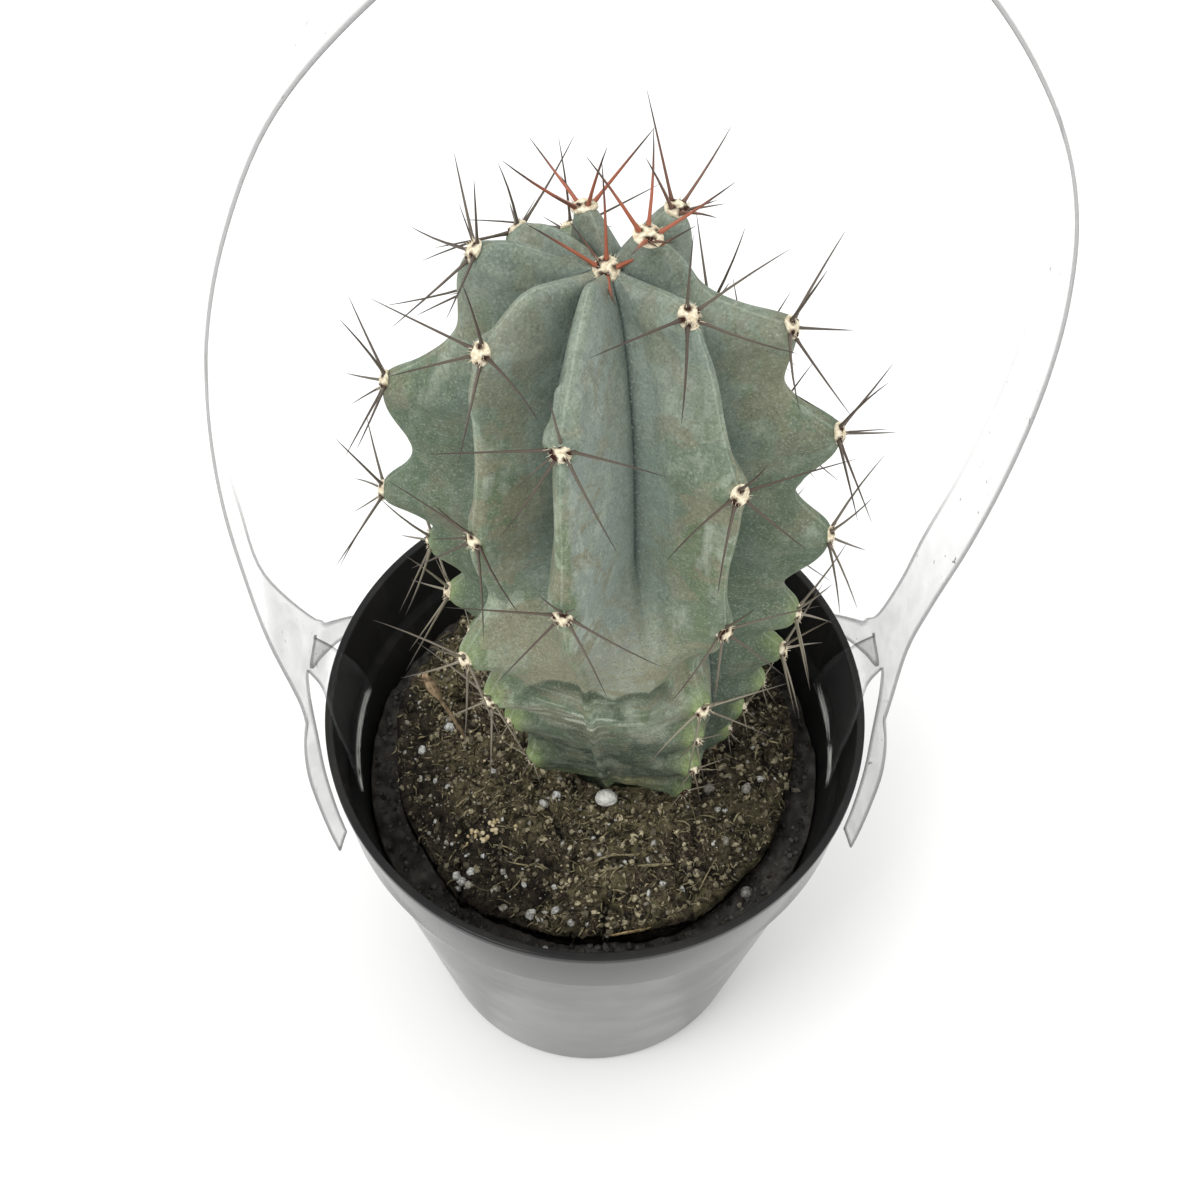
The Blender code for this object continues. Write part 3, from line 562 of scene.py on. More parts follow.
@dataclass(frozen=True)
class SkinFinish:
    """Powdery grey-green skin: blue-grey in the grooves, olive and brown patches, pale crests, darker side
    ribs that are partly painted shade, painted shade along the bottoms of the grooves and painted shadow
    under the folds near the foot.
    """

    bloom: Color = paint(113, 120, 104)
    blue: Color = paint(102, 114, 107)
    green: Color = paint(84, 96, 72)
    brown: Color = paint(108, 106, 88)
    slate: Color = paint(117, 125, 120)
    deep: Color = paint(111, 123, 115)
    # darker colour of the side ribs: partly their own tint, partly painted shade
    dusk: Color = paint(70, 84, 69)
    # darker skin towards the foot
    low_dark: Color = paint(58, 66, 55)
    # painted shadow under the folds of the front near the foot
    arch: Color = paint(48, 60, 46)
    yellow: Color = paint(116, 131, 84)
    pale: Color = paint(182, 190, 174)
    # painted shade for the bottoms of the grooves, also the dark specks of the grain
    groove: Color = paint(48, 57, 54)
    scar: Color = paint(146, 140, 104)
    glare: Color = paint(235, 238, 232)

    def material(self) -> bpy.types.Material:
        """Builds the node material."""
        bench = Bench("skin_of_stem")
        rise, face, sheltered, slab, slate, high, dusk, worn, low, arch, ring, flush, crease, scar = (
            bench.value(name) for name in ("rise", "face", "sheltered", "slab", "slate", "high", "dusk",
                                           "worn", "low", "arch", "ring", "flush", "crease", "scar"))
        patch = bench.noise(90.0, 3.0, 0.55, 0.3)
        small = bench.noise(210.0, 3.0, 0.55, 0.4)
        streak = bench.noise(300.0, 3.0, 0.6, 0.2, (1.0, 1.0, 0.22))
        smudge = bench.noise(120.0, 4.0, 0.6, 0.5)
        fine = bench.noise(760.0, 4.0, 0.68)
        grain = bench.noise(2700.0, 2.0, 0.6)
        open_skin = (1.0 - sheltered) * (1.0 - high * 0.65)
        olive = (streak.between(0.48, 0.58) * 0.85).most(patch.between(0.5, 0.44) * 0.7)
        olive = olive.most(rise.between(0.6, 0.85, 0.0, 0.6) * (1.0 - face))
        light = streak.between(0.44, 0.38, 0.0, 0.2).most(small.between(0.56, 0.64, 0.0, 0.2))
        rim = small.between(0.46, 0.52) * (1.0 - small.between(0.52, 0.56))
        color = bench.layers(
            self.blue,
            (patch.between(0.42, 0.53), self.bloom),
            (sheltered * small.between(0.3, 0.6, 0.7, 1.0), self.blue),
            (slab * patch.between(0.3, 0.6, 0.5, 0.9), self.deep),
            (slate * small.between(0.25, 0.6, 1.0, 0.6), self.slate),
            (high * patch.between(0.3, 0.6, 0.25, 0.65), self.slate),
            (olive * open_skin * (1.0 - slate), self.green),
            (light * open_skin, self.pale),
            (smudge.between(0.49, 0.56, 0.0, 0.85) * (open_skin * 0.8 + 0.2), self.brown),
            # side ribs darker: partly their own tint, partly painted shade
            (dusk * patch.between(0.62, 0.42, 0.45, 0.9), self.dusk),
            (worn * fine.between(0.35, 0.6, 0.35, 0.9), self.brown),
            # darker towards the foot
            (low * small.between(0.4, 0.6, 0.55, 1.0), self.low_dark),
            (rim * 0.05, self.pale),
            # painted shadow: dark arched bands under the folds
            (arch * 0.85, self.arch),
            (ring * grain.between(0.35, 0.6, 0.3, 0.8), self.pale),
            (flush * patch.between(0.25, 0.55, 0.5, 1.0), self.yellow),
            (rise.between(0.93, 1.0, 0.0, 0.16) * (1.0 - face) ** 3.0, self.pale),
            # painted shade along the bottoms of the grooves
            (crease, self.groove),
            (scar * fine.between(0.35, 0.6), self.scar))
        color = bench.mix(fine.between(0.35, 0.65, 0.3, 0.7), color, self.glare, "SOFT_LIGHT")
        color = bench.layers(color, (grain.between(0.55, 0.7, 0.0, 0.3), self.pale),
                             (grain.between(0.45, 0.3, 0.0, 0.35), self.groove))
        return bench.finish({
            "Base Color": color, "Roughness": fine.between(0.2, 0.8, 0.62, 0.8),
            "Specular IOR Level": 0.22,
            "Normal": bench.bump(fine * 0.6 + grain * 0.3 + small * 0.8, 0.2, 0.6)})


@dataclass(frozen=True)
class WoolFinish:
    """Cream felt of the areoles, brown in the pits where spines stand."""

    cream: Color = paint(240, 230, 205)
    shade: Color = paint(205, 190, 160)
    pit: Color = paint(52, 32, 24)

    def material(self) -> bpy.types.Material:
        """Builds the node material."""
        bench = Bench("felt_of_areoles")
        fine = bench.noise(1900.0, 3.0, 0.6)
        color = bench.layers(self.shade, (fine.between(0.35, 0.6), self.cream),
                             (bench.value("pit"), self.pit))
        return bench.finish({"Base Color": color, "Roughness": 0.95, "Specular IOR Level": 0.1,
                             "Normal": bench.bump(fine, 0.3)})


@dataclass(frozen=True)
class SpineFinish:
    """Horny spines: orange-red where young, dark brown on the crown, weathered grey below."""

    young: Color = paint(158, 88, 62)
    dark: Color = paint(70, 58, 48)
    middle: Color = paint(108, 99, 84)
    pale: Color = paint(146, 139, 120)
    tip: Color = paint(36, 28, 26)
    foot: Color = paint(58, 34, 26)

    def material(self) -> bpy.types.Material:
        """Builds the node material."""
        bench = Bench("horn_of_spines")
        along, youth = bench.value("along"), bench.value("youth")
        color = bench.layers(
            self.middle, (bench.value("tone"), self.pale), (bench.value("dark"), self.dark),
            (youth * (1.0 - along.between(0.35, 0.9)), self.young),
            (along.between(0.4, 1.0, 0.0, 0.85), self.tip),
            ((1.0 - along.between(0.0, 0.1)) * (1.0 - youth) * 0.9, self.foot))
        fine = bench.noise(2500.0, 2.0)
        return bench.finish({"Base Color": color, "Roughness": fine.between(0.3, 0.7, 0.4, 0.6)})


@dataclass(frozen=True)
class CrustFinish:
    """Fibrous peat crust: brown-black humus under olive-brown moss, with painted shade in its hollows."""

    dark: Color = paint(26, 23, 21)
    brown: Color = paint(106, 94, 78)
    moss: Color = paint(122, 116, 84)
    straw: Color = paint(176, 164, 128)

    def material(self) -> bpy.types.Material:
        """Builds the node material."""
        bench = Bench("mossy_crust")
        mossy = bench.value("mossy")
        patch = bench.noise(90.0, 4.0, 0.6, 0.4)
        fine = bench.noise(900.0, 5.0, 0.7, 0.6)
        threads = bench.noise(700.0, 3.0, 0.6, 2.5)
        # the last coat is painted shade in the hollows of the crust
        color = bench.layers(
            self.dark, (fine.between(0.35, 0.62) * (mossy * 0.7 + 0.3), self.brown),
            (mossy * patch.between(0.4, 0.6) * 0.75, self.moss),
            (threads.between(0.62, 0.7, 0.0, 0.6) * mossy, self.straw), (bench.value("damp"), self.dark))
        return bench.finish({"Base Color": color, "Roughness": 0.95, "Specular IOR Level": 0.15,
                             "Normal": bench.bump(fine + threads * 0.5, 0.9)})


@dataclass(frozen=True)
class CrumbFinish:
    """Grains and crumbs that vary from a dark tone to a light one, with brown pits."""

    name: str
    dark: Color
    light: Color
    pits: float = 0.25
    pit: Color = paint(60, 52, 42)

    def material(self) -> bpy.types.Material:
        """Builds the node material."""
        bench = Bench(self.name)
        fine = bench.noise(1800.0, 4.0, 0.65)
        color = bench.layers(self.dark, (bench.value("tone"), self.light),
                             (fine.between(0.6, 0.35, 0.0, self.pits * 2.0), self.pit))
        return bench.finish({"Base Color": color, "Roughness": 0.92, "Specular IOR Level": 0.2,
                             "Normal": bench.bump(fine, 0.35)})


@dataclass(frozen=True)
class PotFinish:
    """Thin moulded black plastic with a satin sheen and a few specks of dirt."""

    black: Color = paint(35, 35, 35)
    dust: Color = paint(112, 106, 96)

    def material(self) -> bpy.types.Material:
        """Builds the node material."""
        bench = Bench("black_moulding")
        specks = bench.noise(520.0, 3.0, 0.6)
        film = bench.noise(60.0, 3.0, 0.6)
        wipe = bench.noise(300.0, 2.0, 0.5, 0.3, (1.0, 1.0, 0.15))
        inside = bench.value("inside")
        haze = film.between(0.4, 0.7, 0.0, 0.05) + inside * wipe.between(0.5, 0.7, 0.0, 0.05)
        color = bench.layers(self.black, (haze, self.dust),
                             (specks.between(0.735, 0.76, 0.0, 0.8), self.dust))
        rough = film.between(0.3, 0.7, 0.1, 0.16) + inside * 0.26
        return bench.finish({"Base Color": color, "Roughness": rough, "IOR": 1.2,
                             "Normal": bench.bump(film + wipe * 0.4, 0.12, 0.35)})


@dataclass(frozen=True)
class FilmFinish:
    """Clear plastic film with dust: grey veils near the clips that are partly haze and partly painted
    reflection, painted shade at the cut edges, and white strips of painted highlight.
    """

    film: Color = paint(112, 114, 114)
    # painted shade at the cut edges, standing in for the light that they bend
    edge: Color = paint(82, 84, 84)
    # painted highlight: white strips where the tongue's edge and fold catch the light
    painted_highlight: Color = paint(250, 250, 247)
    dirt: Color = paint(64, 62, 58)

    def material(self) -> bpy.types.Material:
        """Builds the node material."""
        bench = Bench("clear_film")
        haze, rim, gleam = bench.value("haze"), bench.value("rim"), bench.value("gleam")
        veil = bench.noise(140.0, 4.0, 0.65, 1.2)
        dust = bench.noise(650.0, 2.0, 0.5).between(0.725, 0.745)
        # alpha: haze that is partly painted reflection near the clips, painted shade at the rims, painted
        # highlights and dust
        alpha = (haze * veil.between(0.3, 0.7, 0.75, 1.25)).most(rim).most(gleam).most(dust * 0.7)
        color = bench.layers(self.film, (rim.between(0.1, 0.4), self.edge),
                             (gleam.between(0.1, 0.4), self.painted_highlight), (dust, self.dirt))
        return bench.finish({"Base Color": color, "Alpha": alpha, "Roughness": 0.16, "IOR": 1.45,
                             "Normal": bench.bump(veil, 0.25, 0.4)})


@dataclass(frozen=True)
class DryFinish:
    """Dry brown plant matter with a fine lengthwise grain."""

    name: str = "dry_stalk_bark"
    dark: Color = paint(92, 72, 54)
    light: Color = paint(176, 152, 118)

    def material(self) -> bpy.types.Material:
        """Builds the node material."""
        bench = Bench(self.name)
        grain = bench.noise(1300.0, 3.0, 0.6, 0.0, (1.0, 1.0, 0.2))
        color = bench.mix(grain.between(0.3, 0.7), self.dark, self.light)
        return bench.finish({"Base Color": color, "Roughness": 0.85, "Normal": bench.bump(grain, 0.2)})


@dataclass(frozen=True)
class FloorFinish:
    """Plain white tabletop with the faintest clouds of grey."""

    white: Color = (0.9, 0.9, 0.89, 1.0)
    grey: Color = (0.8, 0.8, 0.8, 1.0)

    def material(self) -> bpy.types.Material:
        """Builds the node material."""
        bench = Bench("white_table")
        color = bench.layers(self.white, (bench.noise(3.0, 2.0).between(0.3, 0.7, 0.0, 0.02), self.grey))
        return bench.finish({"Base Color": color, "Roughness": 0.8, "Specular IOR Level": 0.1})


def dress(piece: bpy.types.Object, node: str) -> None:
    """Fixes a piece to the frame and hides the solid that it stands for."""
    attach(piece, "root")
    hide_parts(node)
    count = sum(len(face.vertices) - 2 for face in piece.data.polygons)
    log.info("%s stands for %s: %d triangles", piece.name, node, count)


# Pot

@dataclass
class NurseryPot:
    """Thin-walled pot with a stepped collar, a lip and drain holes."""

    rim_radius: float = 50.0
    rim_wall: float = 1.5
    lip_height: float = 2.5
    lip_step: float = 0.4
    collar_foot_radius: float = 48.9
    collar_step: float = 1.4
    base_radius: float = 36.2
    wall: float = 1.3
    floor: float = 1.4
    corner: float = 0.4
    segments: int = 240
    drains: int = 6
    drain_radius: float = 4.0
    drain_circle: float = 26.5
    drain_turn: float = 0.27
    drain_sides: int = 28
    drain_cut: tuple[float, float] = (-2.0, 5.0)
    rounding: float = 0.35
    sharp_angle: float = 45.0

    def wall_outside(self, height: Array | float) -> Array | float:
        """Outer radius below the collar: a straight taper from the foot to the collar's step."""
        top = self.collar_foot_radius - self.collar_step
        return self.base_radius + (top - self.base_radius) * height / (POT_HEIGHT - COLLAR_HEIGHT)

    def wall_inside(self, height: Array | float) -> Array | float:
        """Inner radius below the collar."""
        return self.wall_outside(height) - self.wall

    def profile(self) -> Array:
        """(radius, height) from the floor's centre over the lip to the foot's centre."""
        collar = POT_HEIGHT - COLLAR_HEIGHT
        inner = self.rim_radius - self.rim_wall
        lip = POT_HEIGHT - self.lip_height
        e = self.corner
        return np.array([
            (0.0, self.floor), (self.wall_inside(self.floor) - e, self.floor),
            (self.wall_inside(3 * self.floor), 3 * self.floor),
            (self.wall_inside(collar - self.collar_step), collar - self.collar_step),
            (self.collar_foot_radius - self.rim_wall, collar + e),
            (inner, POT_HEIGHT), (self.rim_radius, POT_HEIGHT), (self.rim_radius, lip + e),
            (self.rim_radius - self.lip_step, lip), (self.collar_foot_radius, collar),
            (self.wall_outside(collar) + 0.1, collar - e), (self.base_radius, self.floor),
            (self.base_radius - 2 * e, 0.0), (0.0, 0.0)])

    def rounded(self, line: Array, reach: float, steps: int = 4) -> Array:
        """The line with its corners rounded.

        Formula: each corner gives way to a quadratic Bezier curve that starts and ends
        reach away from it, or 0.4 of the side's length where that is shorter.

        Args:
            line: (points, 2) profile.
            reach: where a rounding starts, from its corner.
            steps: points in each rounding.

        Returns:
            The finer profile.
        """
        corner = line[1:-1]
        back, ahead = line[:-2] - corner, line[2:] - corner
        back_length = np.linalg.norm(back, axis=1, keepdims=True)
        ahead_length = np.linalg.norm(ahead, axis=1, keepdims=True)
        start = corner + back / back_length * np.minimum(reach, 0.4 * back_length)
        end = corner + ahead / ahead_length * np.minimum(reach, 0.4 * ahead_length)
        t = np.linspace(0.0, 1.0, steps)[None, :, None]
        curve = (1 - t) ** 2 * start[:, None] + 2 * t * (1 - t) * corner[:, None] + t ** 2 * end[:, None]
        return np.concatenate([line[:1], curve.reshape(-1, 2), line[-1:]])

    def surface(self) -> Surface:
        """The profile turned about the axis, from the floor's centre to the foot's centre."""
        line = self.rounded(self.profile(), self.rounding)
        turn = -turns(self.segments)
        radius, height = line[1:-1, 0][:, None], line[1:-1, 1][:, None]
        grid = np.stack([radius * np.cos(turn), radius * np.sin(turn),
                         np.broadcast_to(height, (len(radius), self.segments))], axis=-1)
        lip = int(np.argmax(line[:, 1]))
        inside = np.broadcast_to((np.arange(len(radius)) < lip)[:, None] * 1.0, grid.shape[:2])
        made = capped(grid, {"inside": inside})
        made.points[-2:] = [(0.0, 0.0, line[0, 1]), (0.0, 0.0, line[-1, 1])]
        return made

    def build(self) -> None:
        """Makes the pot and cuts its drain holes."""
        pot = self.surface().piece("pot_wall", PotFinish().material())
        pot.data.set_sharp_from_angle(angle=math.radians(self.sharp_angle))
        cutters = []
        for index in range(self.drains):
            place = outward(360.0 / self.drains * (index + self.drain_turn)) * self.drain_circle
            ring = level_circle(self.drain_sides) * self.drain_radius + place
            rings = np.stack([ring + [0, 0, height] for height in self.drain_cut])
            cutter = capped(rings).piece(f"drain_{index}", pot.data.materials[0])
            cut = pot.modifiers.new("drain", "BOOLEAN")
            cut.operation, cut.solver, cut.object = "DIFFERENCE", "EXACT", cutter
            cutters.append(cutter)
        graph = bpy.context.evaluated_depsgraph_get()
        pot.data = bpy.data.meshes.new_from_object(pot.evaluated_get(graph))
        pot.modifiers.clear()
        for cutter in cutters:
            bpy.data.objects.remove(cutter)
        dress(pot, "nursery_pot")


# Soil

# Larger perlite lumps on the crust, each as x, y and mean half size
LUMPS = (
    (-23.9, -28.0, 1.5), (-15.9, -33.6, 1.1), (-11.1, -34.2, 1.5), (-6.3, -33.6, 1.1), (-3.4, -36.6, 1.2),
    (-33.2, -2.5, 1.1), (-28.2, 2.0, 1.3), (-33.2, -8.3, 0.9), (-30.3, -8.6, 0.7), (-7.0, -12.6, 1.2),
    (-9.2, -14.5, 1.2), (22.1, -9.3, 1.3), (29.2, -9.5, 1.3), (32.0, -7.1, 1.0), (24.8, -21.0, 1.1),
    (23.6, -14.0, 0.9), (13.3, -28.9, 0.8), (10.7, -24.4, 0.8), (1.4, -24.4, 0.8), (-11.7, -17.9, 0.8),
    (-16.4, -26.2, 0.9), (-22.7, -29.4, 0.9), (-25.2, -27.0, 1.1), (-21.5, -26.4, 0.8), (12.0, -22.6, 0.6),
    (-12.3, -29.8, 0.7), (19.5, -26.2, 0.7), (-30.0, -16.0, 0.6), (-22.4, -27.2, 1.1), (-25.0, -28.9, 1.0),
    (-17.4, -31.2, 0.8), (-9.2, -35.6, 0.9), (-8.3, -34.0, 0.7), (-6.6, -29.4, 0.8), (-20.3, -23.4, 0.6),
    (-27.5, -20.4, 0.7))
# Lumps on the loose mix, each as azimuth, distance from the axis and three half sizes
OUTER_LUMPS = (
    (48.0, 39.8, 1.6, 1.4, 1.3), (36.5, 37.7, 0.9, 1.0, 0.7), (83.0, 40.2, 0.8, 1.3, 0.7),
    (44.0, 40.6, 0.7, 0.7, 0.6), (-12.0, 39.6, 0.8, 0.7, 0.6), (-50.0, 40.2, 0.9, 0.8, 0.7))
# Long fibres on the crust, each as start, end and radius
LONG_FIBRES = (
    ((1.5, -27.6), (15.2, -25.2), 0.28), ((0.2, -25.9), (10.2, -23.2), 0.22),
    ((-26.0, -14.0), (-20.5, -11.0), 0.15), ((20.0, -30.0), (26.0, -20.0), 0.12),
    ((-18.5, -21.5), (-8.0, -26.5), 0.12))


@dataclass
class Soil:
    """Root ball with its crust, and the loose mix round it."""

    pot: NurseryPot
    top_radius: float = 38.8
    foot_radius: float = 31.0
    foot: float = 16.0
    slump: float = 4.0
    slump_azimuth: float = -38.0
    slump_spread: float = 30.0
    columns: int = 520
    crack: tuple[tuple[float, float], ...] = ((2.5, -32.2), (3.0, -34.2), (2.4, -35.6), (3.2, -38.6))
    crack_width: float = 0.45
    crack_depth: float = 3.2
    crumbs: int = 9300
    fibres: int = 4600
    perlite: int = 640
    mix_crumbs: int = 900
    granules: int = 34
    heap: tuple[float, float] = (-20.2, -19.4)
    heap_spread: tuple[float, float] = (2.2, 0.8)
    relief: Relief = Relief(Seed.CRUST_RELIEF)

    def slumped(self, x: Array, y: Array, widening: float = 1.0) -> Array:
        """Bell curve of the azimuth round the slump's middle."""
        return bell(np.degrees(np.arctan2(x, -y)) - self.slump_azimuth, widening * self.slump_spread)

    def plain(self, x: Array, y: Array) -> Array:
        """Height of the crust in the solids: sine waves, a slump at the front left, a soft shoulder."""
        waves = 0.5 * np.sin(0.31 * x + 0.7) + 0.4 * np.sin(0.27 * y + 0.23 * x + 2.0)
        waves = waves + 0.3 * np.sin(0.63 * x - 0.51 * y)
        reach = np.hypot(x, y) / self.top_radius
        slump = self.slump * self.slumped(x, y) * smooth_step(reach, 0.55, 0.9)
        return SOIL_TOP + waves - slump - 1.5 * smooth_step(reach, 0.78, 1.0)

    def crack_share(self, x: Array, y: Array) -> Array:
        """1 in the crack at the front of the crust and 0 away from it.

        Formula: the distance to the nearest piece of the crack's line, on a bell curve.
        """
        place = np.stack([x, y], -1)[..., None, :]
        line = np.array(self.crack)
        start, run = line[:-1], np.diff(line, axis=0)
        share = np.clip(((place - start) * run).sum(-1) / (run ** 2).sum(-1), 0.0, 1.0)
        gap = np.linalg.norm(place - start - share[..., None] * run, axis=-1).min(-1)
        return bell(gap, self.crack_width)

    def crust(self, x: Array, y: Array) -> Array:
        """Height of the fine crust: the plain one with layered noise, clods and the crack."""
        place = np.stack([x, y, 0.0 * x], -1)
        broken = self.slumped(x, y, 1.2) * smooth_step(np.hypot(x, y), 18.0, 26.0)
        rough = (0.8 + 0.7 * broken) * self.relief.layered(place, 5.5, 4, 0.6)
        clods = (2.4 + 1.2 * broken) * (self.clods(x, y) - 0.35)
        return self.plain(x, y) + rough + clods - self.crack_depth * self.crack_share(x, y)

    def clods(self, x: Array, y: Array) -> Array:
        """How far the clods of the crust bulge, from 0 in the creases between them to about 1.

        Formula: the sum of the sizes of two layers of noise, which pass through nought
        along the creases.
        """
        place = np.stack([x, y, 0.0 * x], -1) + 40.0
        return np.abs(self.relief.at(place, 4.4)) + 0.55 * np.abs(self.relief.at(place * 1.3, 2.3))

    def mossy(self, x: Array, y: Array, grid: Array) -> Array:
        """Share of moss: little on the broken front left, most in the middle, less again on the right."""
        wander = 5.0 * self.relief.layered(grid, 9.0, 2) + 9.0 * smooth_step(y, -22.0, -10.0)
        share = smooth_step(x + 0.45 * (y + 30.0) + wander, -14.0, -6.0)
        return 0.04 + 0.96 * share * (1.0 - 0.5 * smooth_step(x, 12.0, 28.0))

    def ball_radius(self, height: Array | float) -> Array | float:
        """Radius of the root ball's plain side."""
        share = (height - self.foot) / (SOIL_TOP - self.foot)
        return self.foot_radius + (self.top_radius - self.foot_radius) * share

    def build_ball(self) -> None:
        """The root ball, from the hole for the stem over the crust and down its side."""
        turn, circle = turns(self.columns), level_circle(self.columns)
        ragged = 1.0 + 0.012 * np.sin(5 * turn) + 0.010 * np.sin(11 * turn + 1.0)
        edge = circle * (self.top_radius * ragged)[:, None]
        hole = circle * (NECK_RADIUS + FIT_GAP) + np.array([*STEM_FOOT, 0.0])
        share = np.linspace(1.0, 0.0, 105)[:, None, None]
        top = hole + (edge - hole) * share
        x, y = top[..., 0], top[..., 1]
        top[..., 2] = self.crust(x, y) - 2.2 * smooth_step(share[..., 0], 0.965, 1.0) ** 2
        level = np.concatenate([[self.foot, 40.0, 60.0], np.linspace(68.0, 83.0, 30)])
        share = smooth_step(level, 60, 83)[:, None]
        radius = self.ball_radius(level)[:, None] * (1.0 + (ragged - 1.0) * share)
        side = circle * radius[..., None] + np.array([0.0, 0.0, 1.0]) * level[:, None, None]
        bumps = 0.55 * self.relief.layered(side + 9.0, 4.5, 4, 0.6) - 0.25
        side = side + circle * (bumps * smooth_step(level, 62.0, 70.0)[:, None])[..., None]
        steps = (0.4 * PLUG_DEPTH, NECK_RADIUS), (PLUG_DEPTH + FIT_GAP, PLUG_FOOT_RADIUS)
        pit = [circle * (width + FIT_GAP) + np.array([*STEM_FOOT, SOIL_TOP - drop])
               for drop, width in steps]
        grid = np.concatenate([side, top, np.stack(pit)])
        x, y, z = grid[..., 0], grid[..., 1], grid[..., 2]
        mossy = self.mossy(x, y, grid) * (1.0 - 0.6 * smooth_step(SOIL_TOP - z, 3.0, 6.0))
        # painted shade in the creases between clods, in the crack and down the side of the ball
        creases = 0.9 * smooth_step(-self.clods(x, y), -0.36, -0.1)
        deep = np.maximum(smooth_step(SOIL_TOP - z, 5.0, 9.0), self.crack_share(x, y)) * 0.9
        values = {"mossy": mossy, "damp": np.maximum(deep, creases)}
        ball = capped(grid, values)
        ball.dressed("root_ball_crust", CrustFinish().material(), "root_ball", "mossy_soil")

    def build_mix(self) -> None:
        """The loose dark mix round the ball, and crumbs of it lying on top."""
        turn, circle = turns(self.columns), level_circle(self.columns)
        low = self.pot.floor + FIT_GAP
        outer, inner = self.pot.wall_inside(MIX_TOP - 2.0) - FIT_GAP, self.ball_radius(MIX_TOP - 6.0)
        rows = [(self.pot.wall_inside(3 * self.pot.floor) - 3 * FIT_GAP, low),
                (self.pot.wall_inside(3 * self.pot.floor + low) - FIT_GAP, 3 * self.pot.floor + low),
                (outer, MIX_TOP - 2.0)]
        rows += [(outer + (inner - outer) * share, MIX_TOP) for share in np.linspace(0.03, 0.92, 30)]
        rows += [(inner + 0.3, MIX_TOP - 6.0),
                 (self.ball_radius(self.foot) + FIT_GAP, self.foot - FIT_GAP)]
        line = np.array(rows)
        grid = circle * line[:, 0][:, None, None] + np.array([0, 0, 1.0]) * line[:, 1][:, None, None]
        loose = (line[:, 1] == MIX_TOP)[:, None]
        grid[..., 2] += loose * (self.mix_waves(turn) + 1.1 * self.relief.layered(grid, 3.6, 4, 0.6))
        finish = CrumbFinish("dark_mix_crumbs", paint(33, 33, 33), paint(100, 98, 92)).material()
        tone = 0.4 + 0.4 * self.relief.at(grid, 1.6)
        capped(grid, {"tone": tone}).dressed("loose_mix_bed", finish, "loose_mix", "dark_mix")
        draws = np.random.default_rng(Seed.MIX_CRUMBS)
        count = self.mix_crumbs
        azimuth, reach = draws.uniform(0, 360, count), draws.uniform(inner + 1.0, outer - 0.9, count)
        places = outward(azimuth) * reach[:, None]
        places[:, 2] = MIX_TOP + 0.3 + self.mix_waves(np.radians(azimuth - 90))
        sizes = draws.uniform(0.3, 0.9, (count, 1)) * draws.uniform(0.6, 1.0, (count, 3))
        made = grains(places, sizes, Seed.MIX_CRUMB_SHAPES)
        made.dressed("loose_mix_crumbs", finish, "loose_mix", "dark_mix", smooth=False)

    def mix_waves(self, turn: Array) -> Array:
        """Low waves of the loose mix round the pot: two sines of the angle."""
        return 0.8 * np.sin(7 * turn) + 0.5 * np.sin(13 * turn + 2.0)

    def clear_of_stem(self, places: Array, gap: float) -> Array:
        """Which places stand more than a gap outside the stem's neck."""
        return np.hypot(places[..., 0] - STEM_FOOT[0], places[..., 1] - STEM_FOOT[1]) > NECK_RADIUS + gap

    def scatter(self, count: int, seed: int, furthest: float = 38.0) -> Array:
        """Seeded places on the crust, clear of the stem's foot.

        Args:
            count: how many are drawn before those under the stem are dropped.
            seed: start of the draws.
            furthest: largest distance from the pot's axis.

        Returns:
            (places, 3), each at the height of the crust.
        """
        draws = np.random.default_rng(seed)
        reach = np.sqrt(draws.uniform(0.0, furthest ** 2, count))
        places = outward(draws.uniform(0, 360, count)) * reach[:, None]
        places = places[self.clear_of_stem(places, 0.8)]
        places[:, 2] = self.crust(places[:, 0], places[:, 1])
        return places

    def build_crumbs(self) -> None:
        """Brown crumbs of many sizes all over the crust."""
        places = self.scatter(self.crumbs, Seed.CRUMB_PLACES)
        draws = np.random.default_rng(Seed.CRUMBS)
        count = len(places)
        sizes = (0.2 + 1.0 * draws.random((count, 1)) ** 3.0) * draws.uniform(0.4, 1.0, (count, 3))
        places[:, 2] += draws.uniform(-0.1, 0.45, count)
        made = grains(places, sizes, Seed.CRUMB_SHAPES, detail=1, rough=0.45, fall=2.2)
        made.values["tone"] *= 0.4 + 0.6 * self.mossy(made.points[:, 0], made.points[:, 1], made.points)
        finish = CrumbFinish("humus_crumbs", paint(32, 27, 24), paint(220, 208, 172)).material()
        made.dressed("crust_crumbs", finish, "root_ball", "mossy_soil", smooth=False)

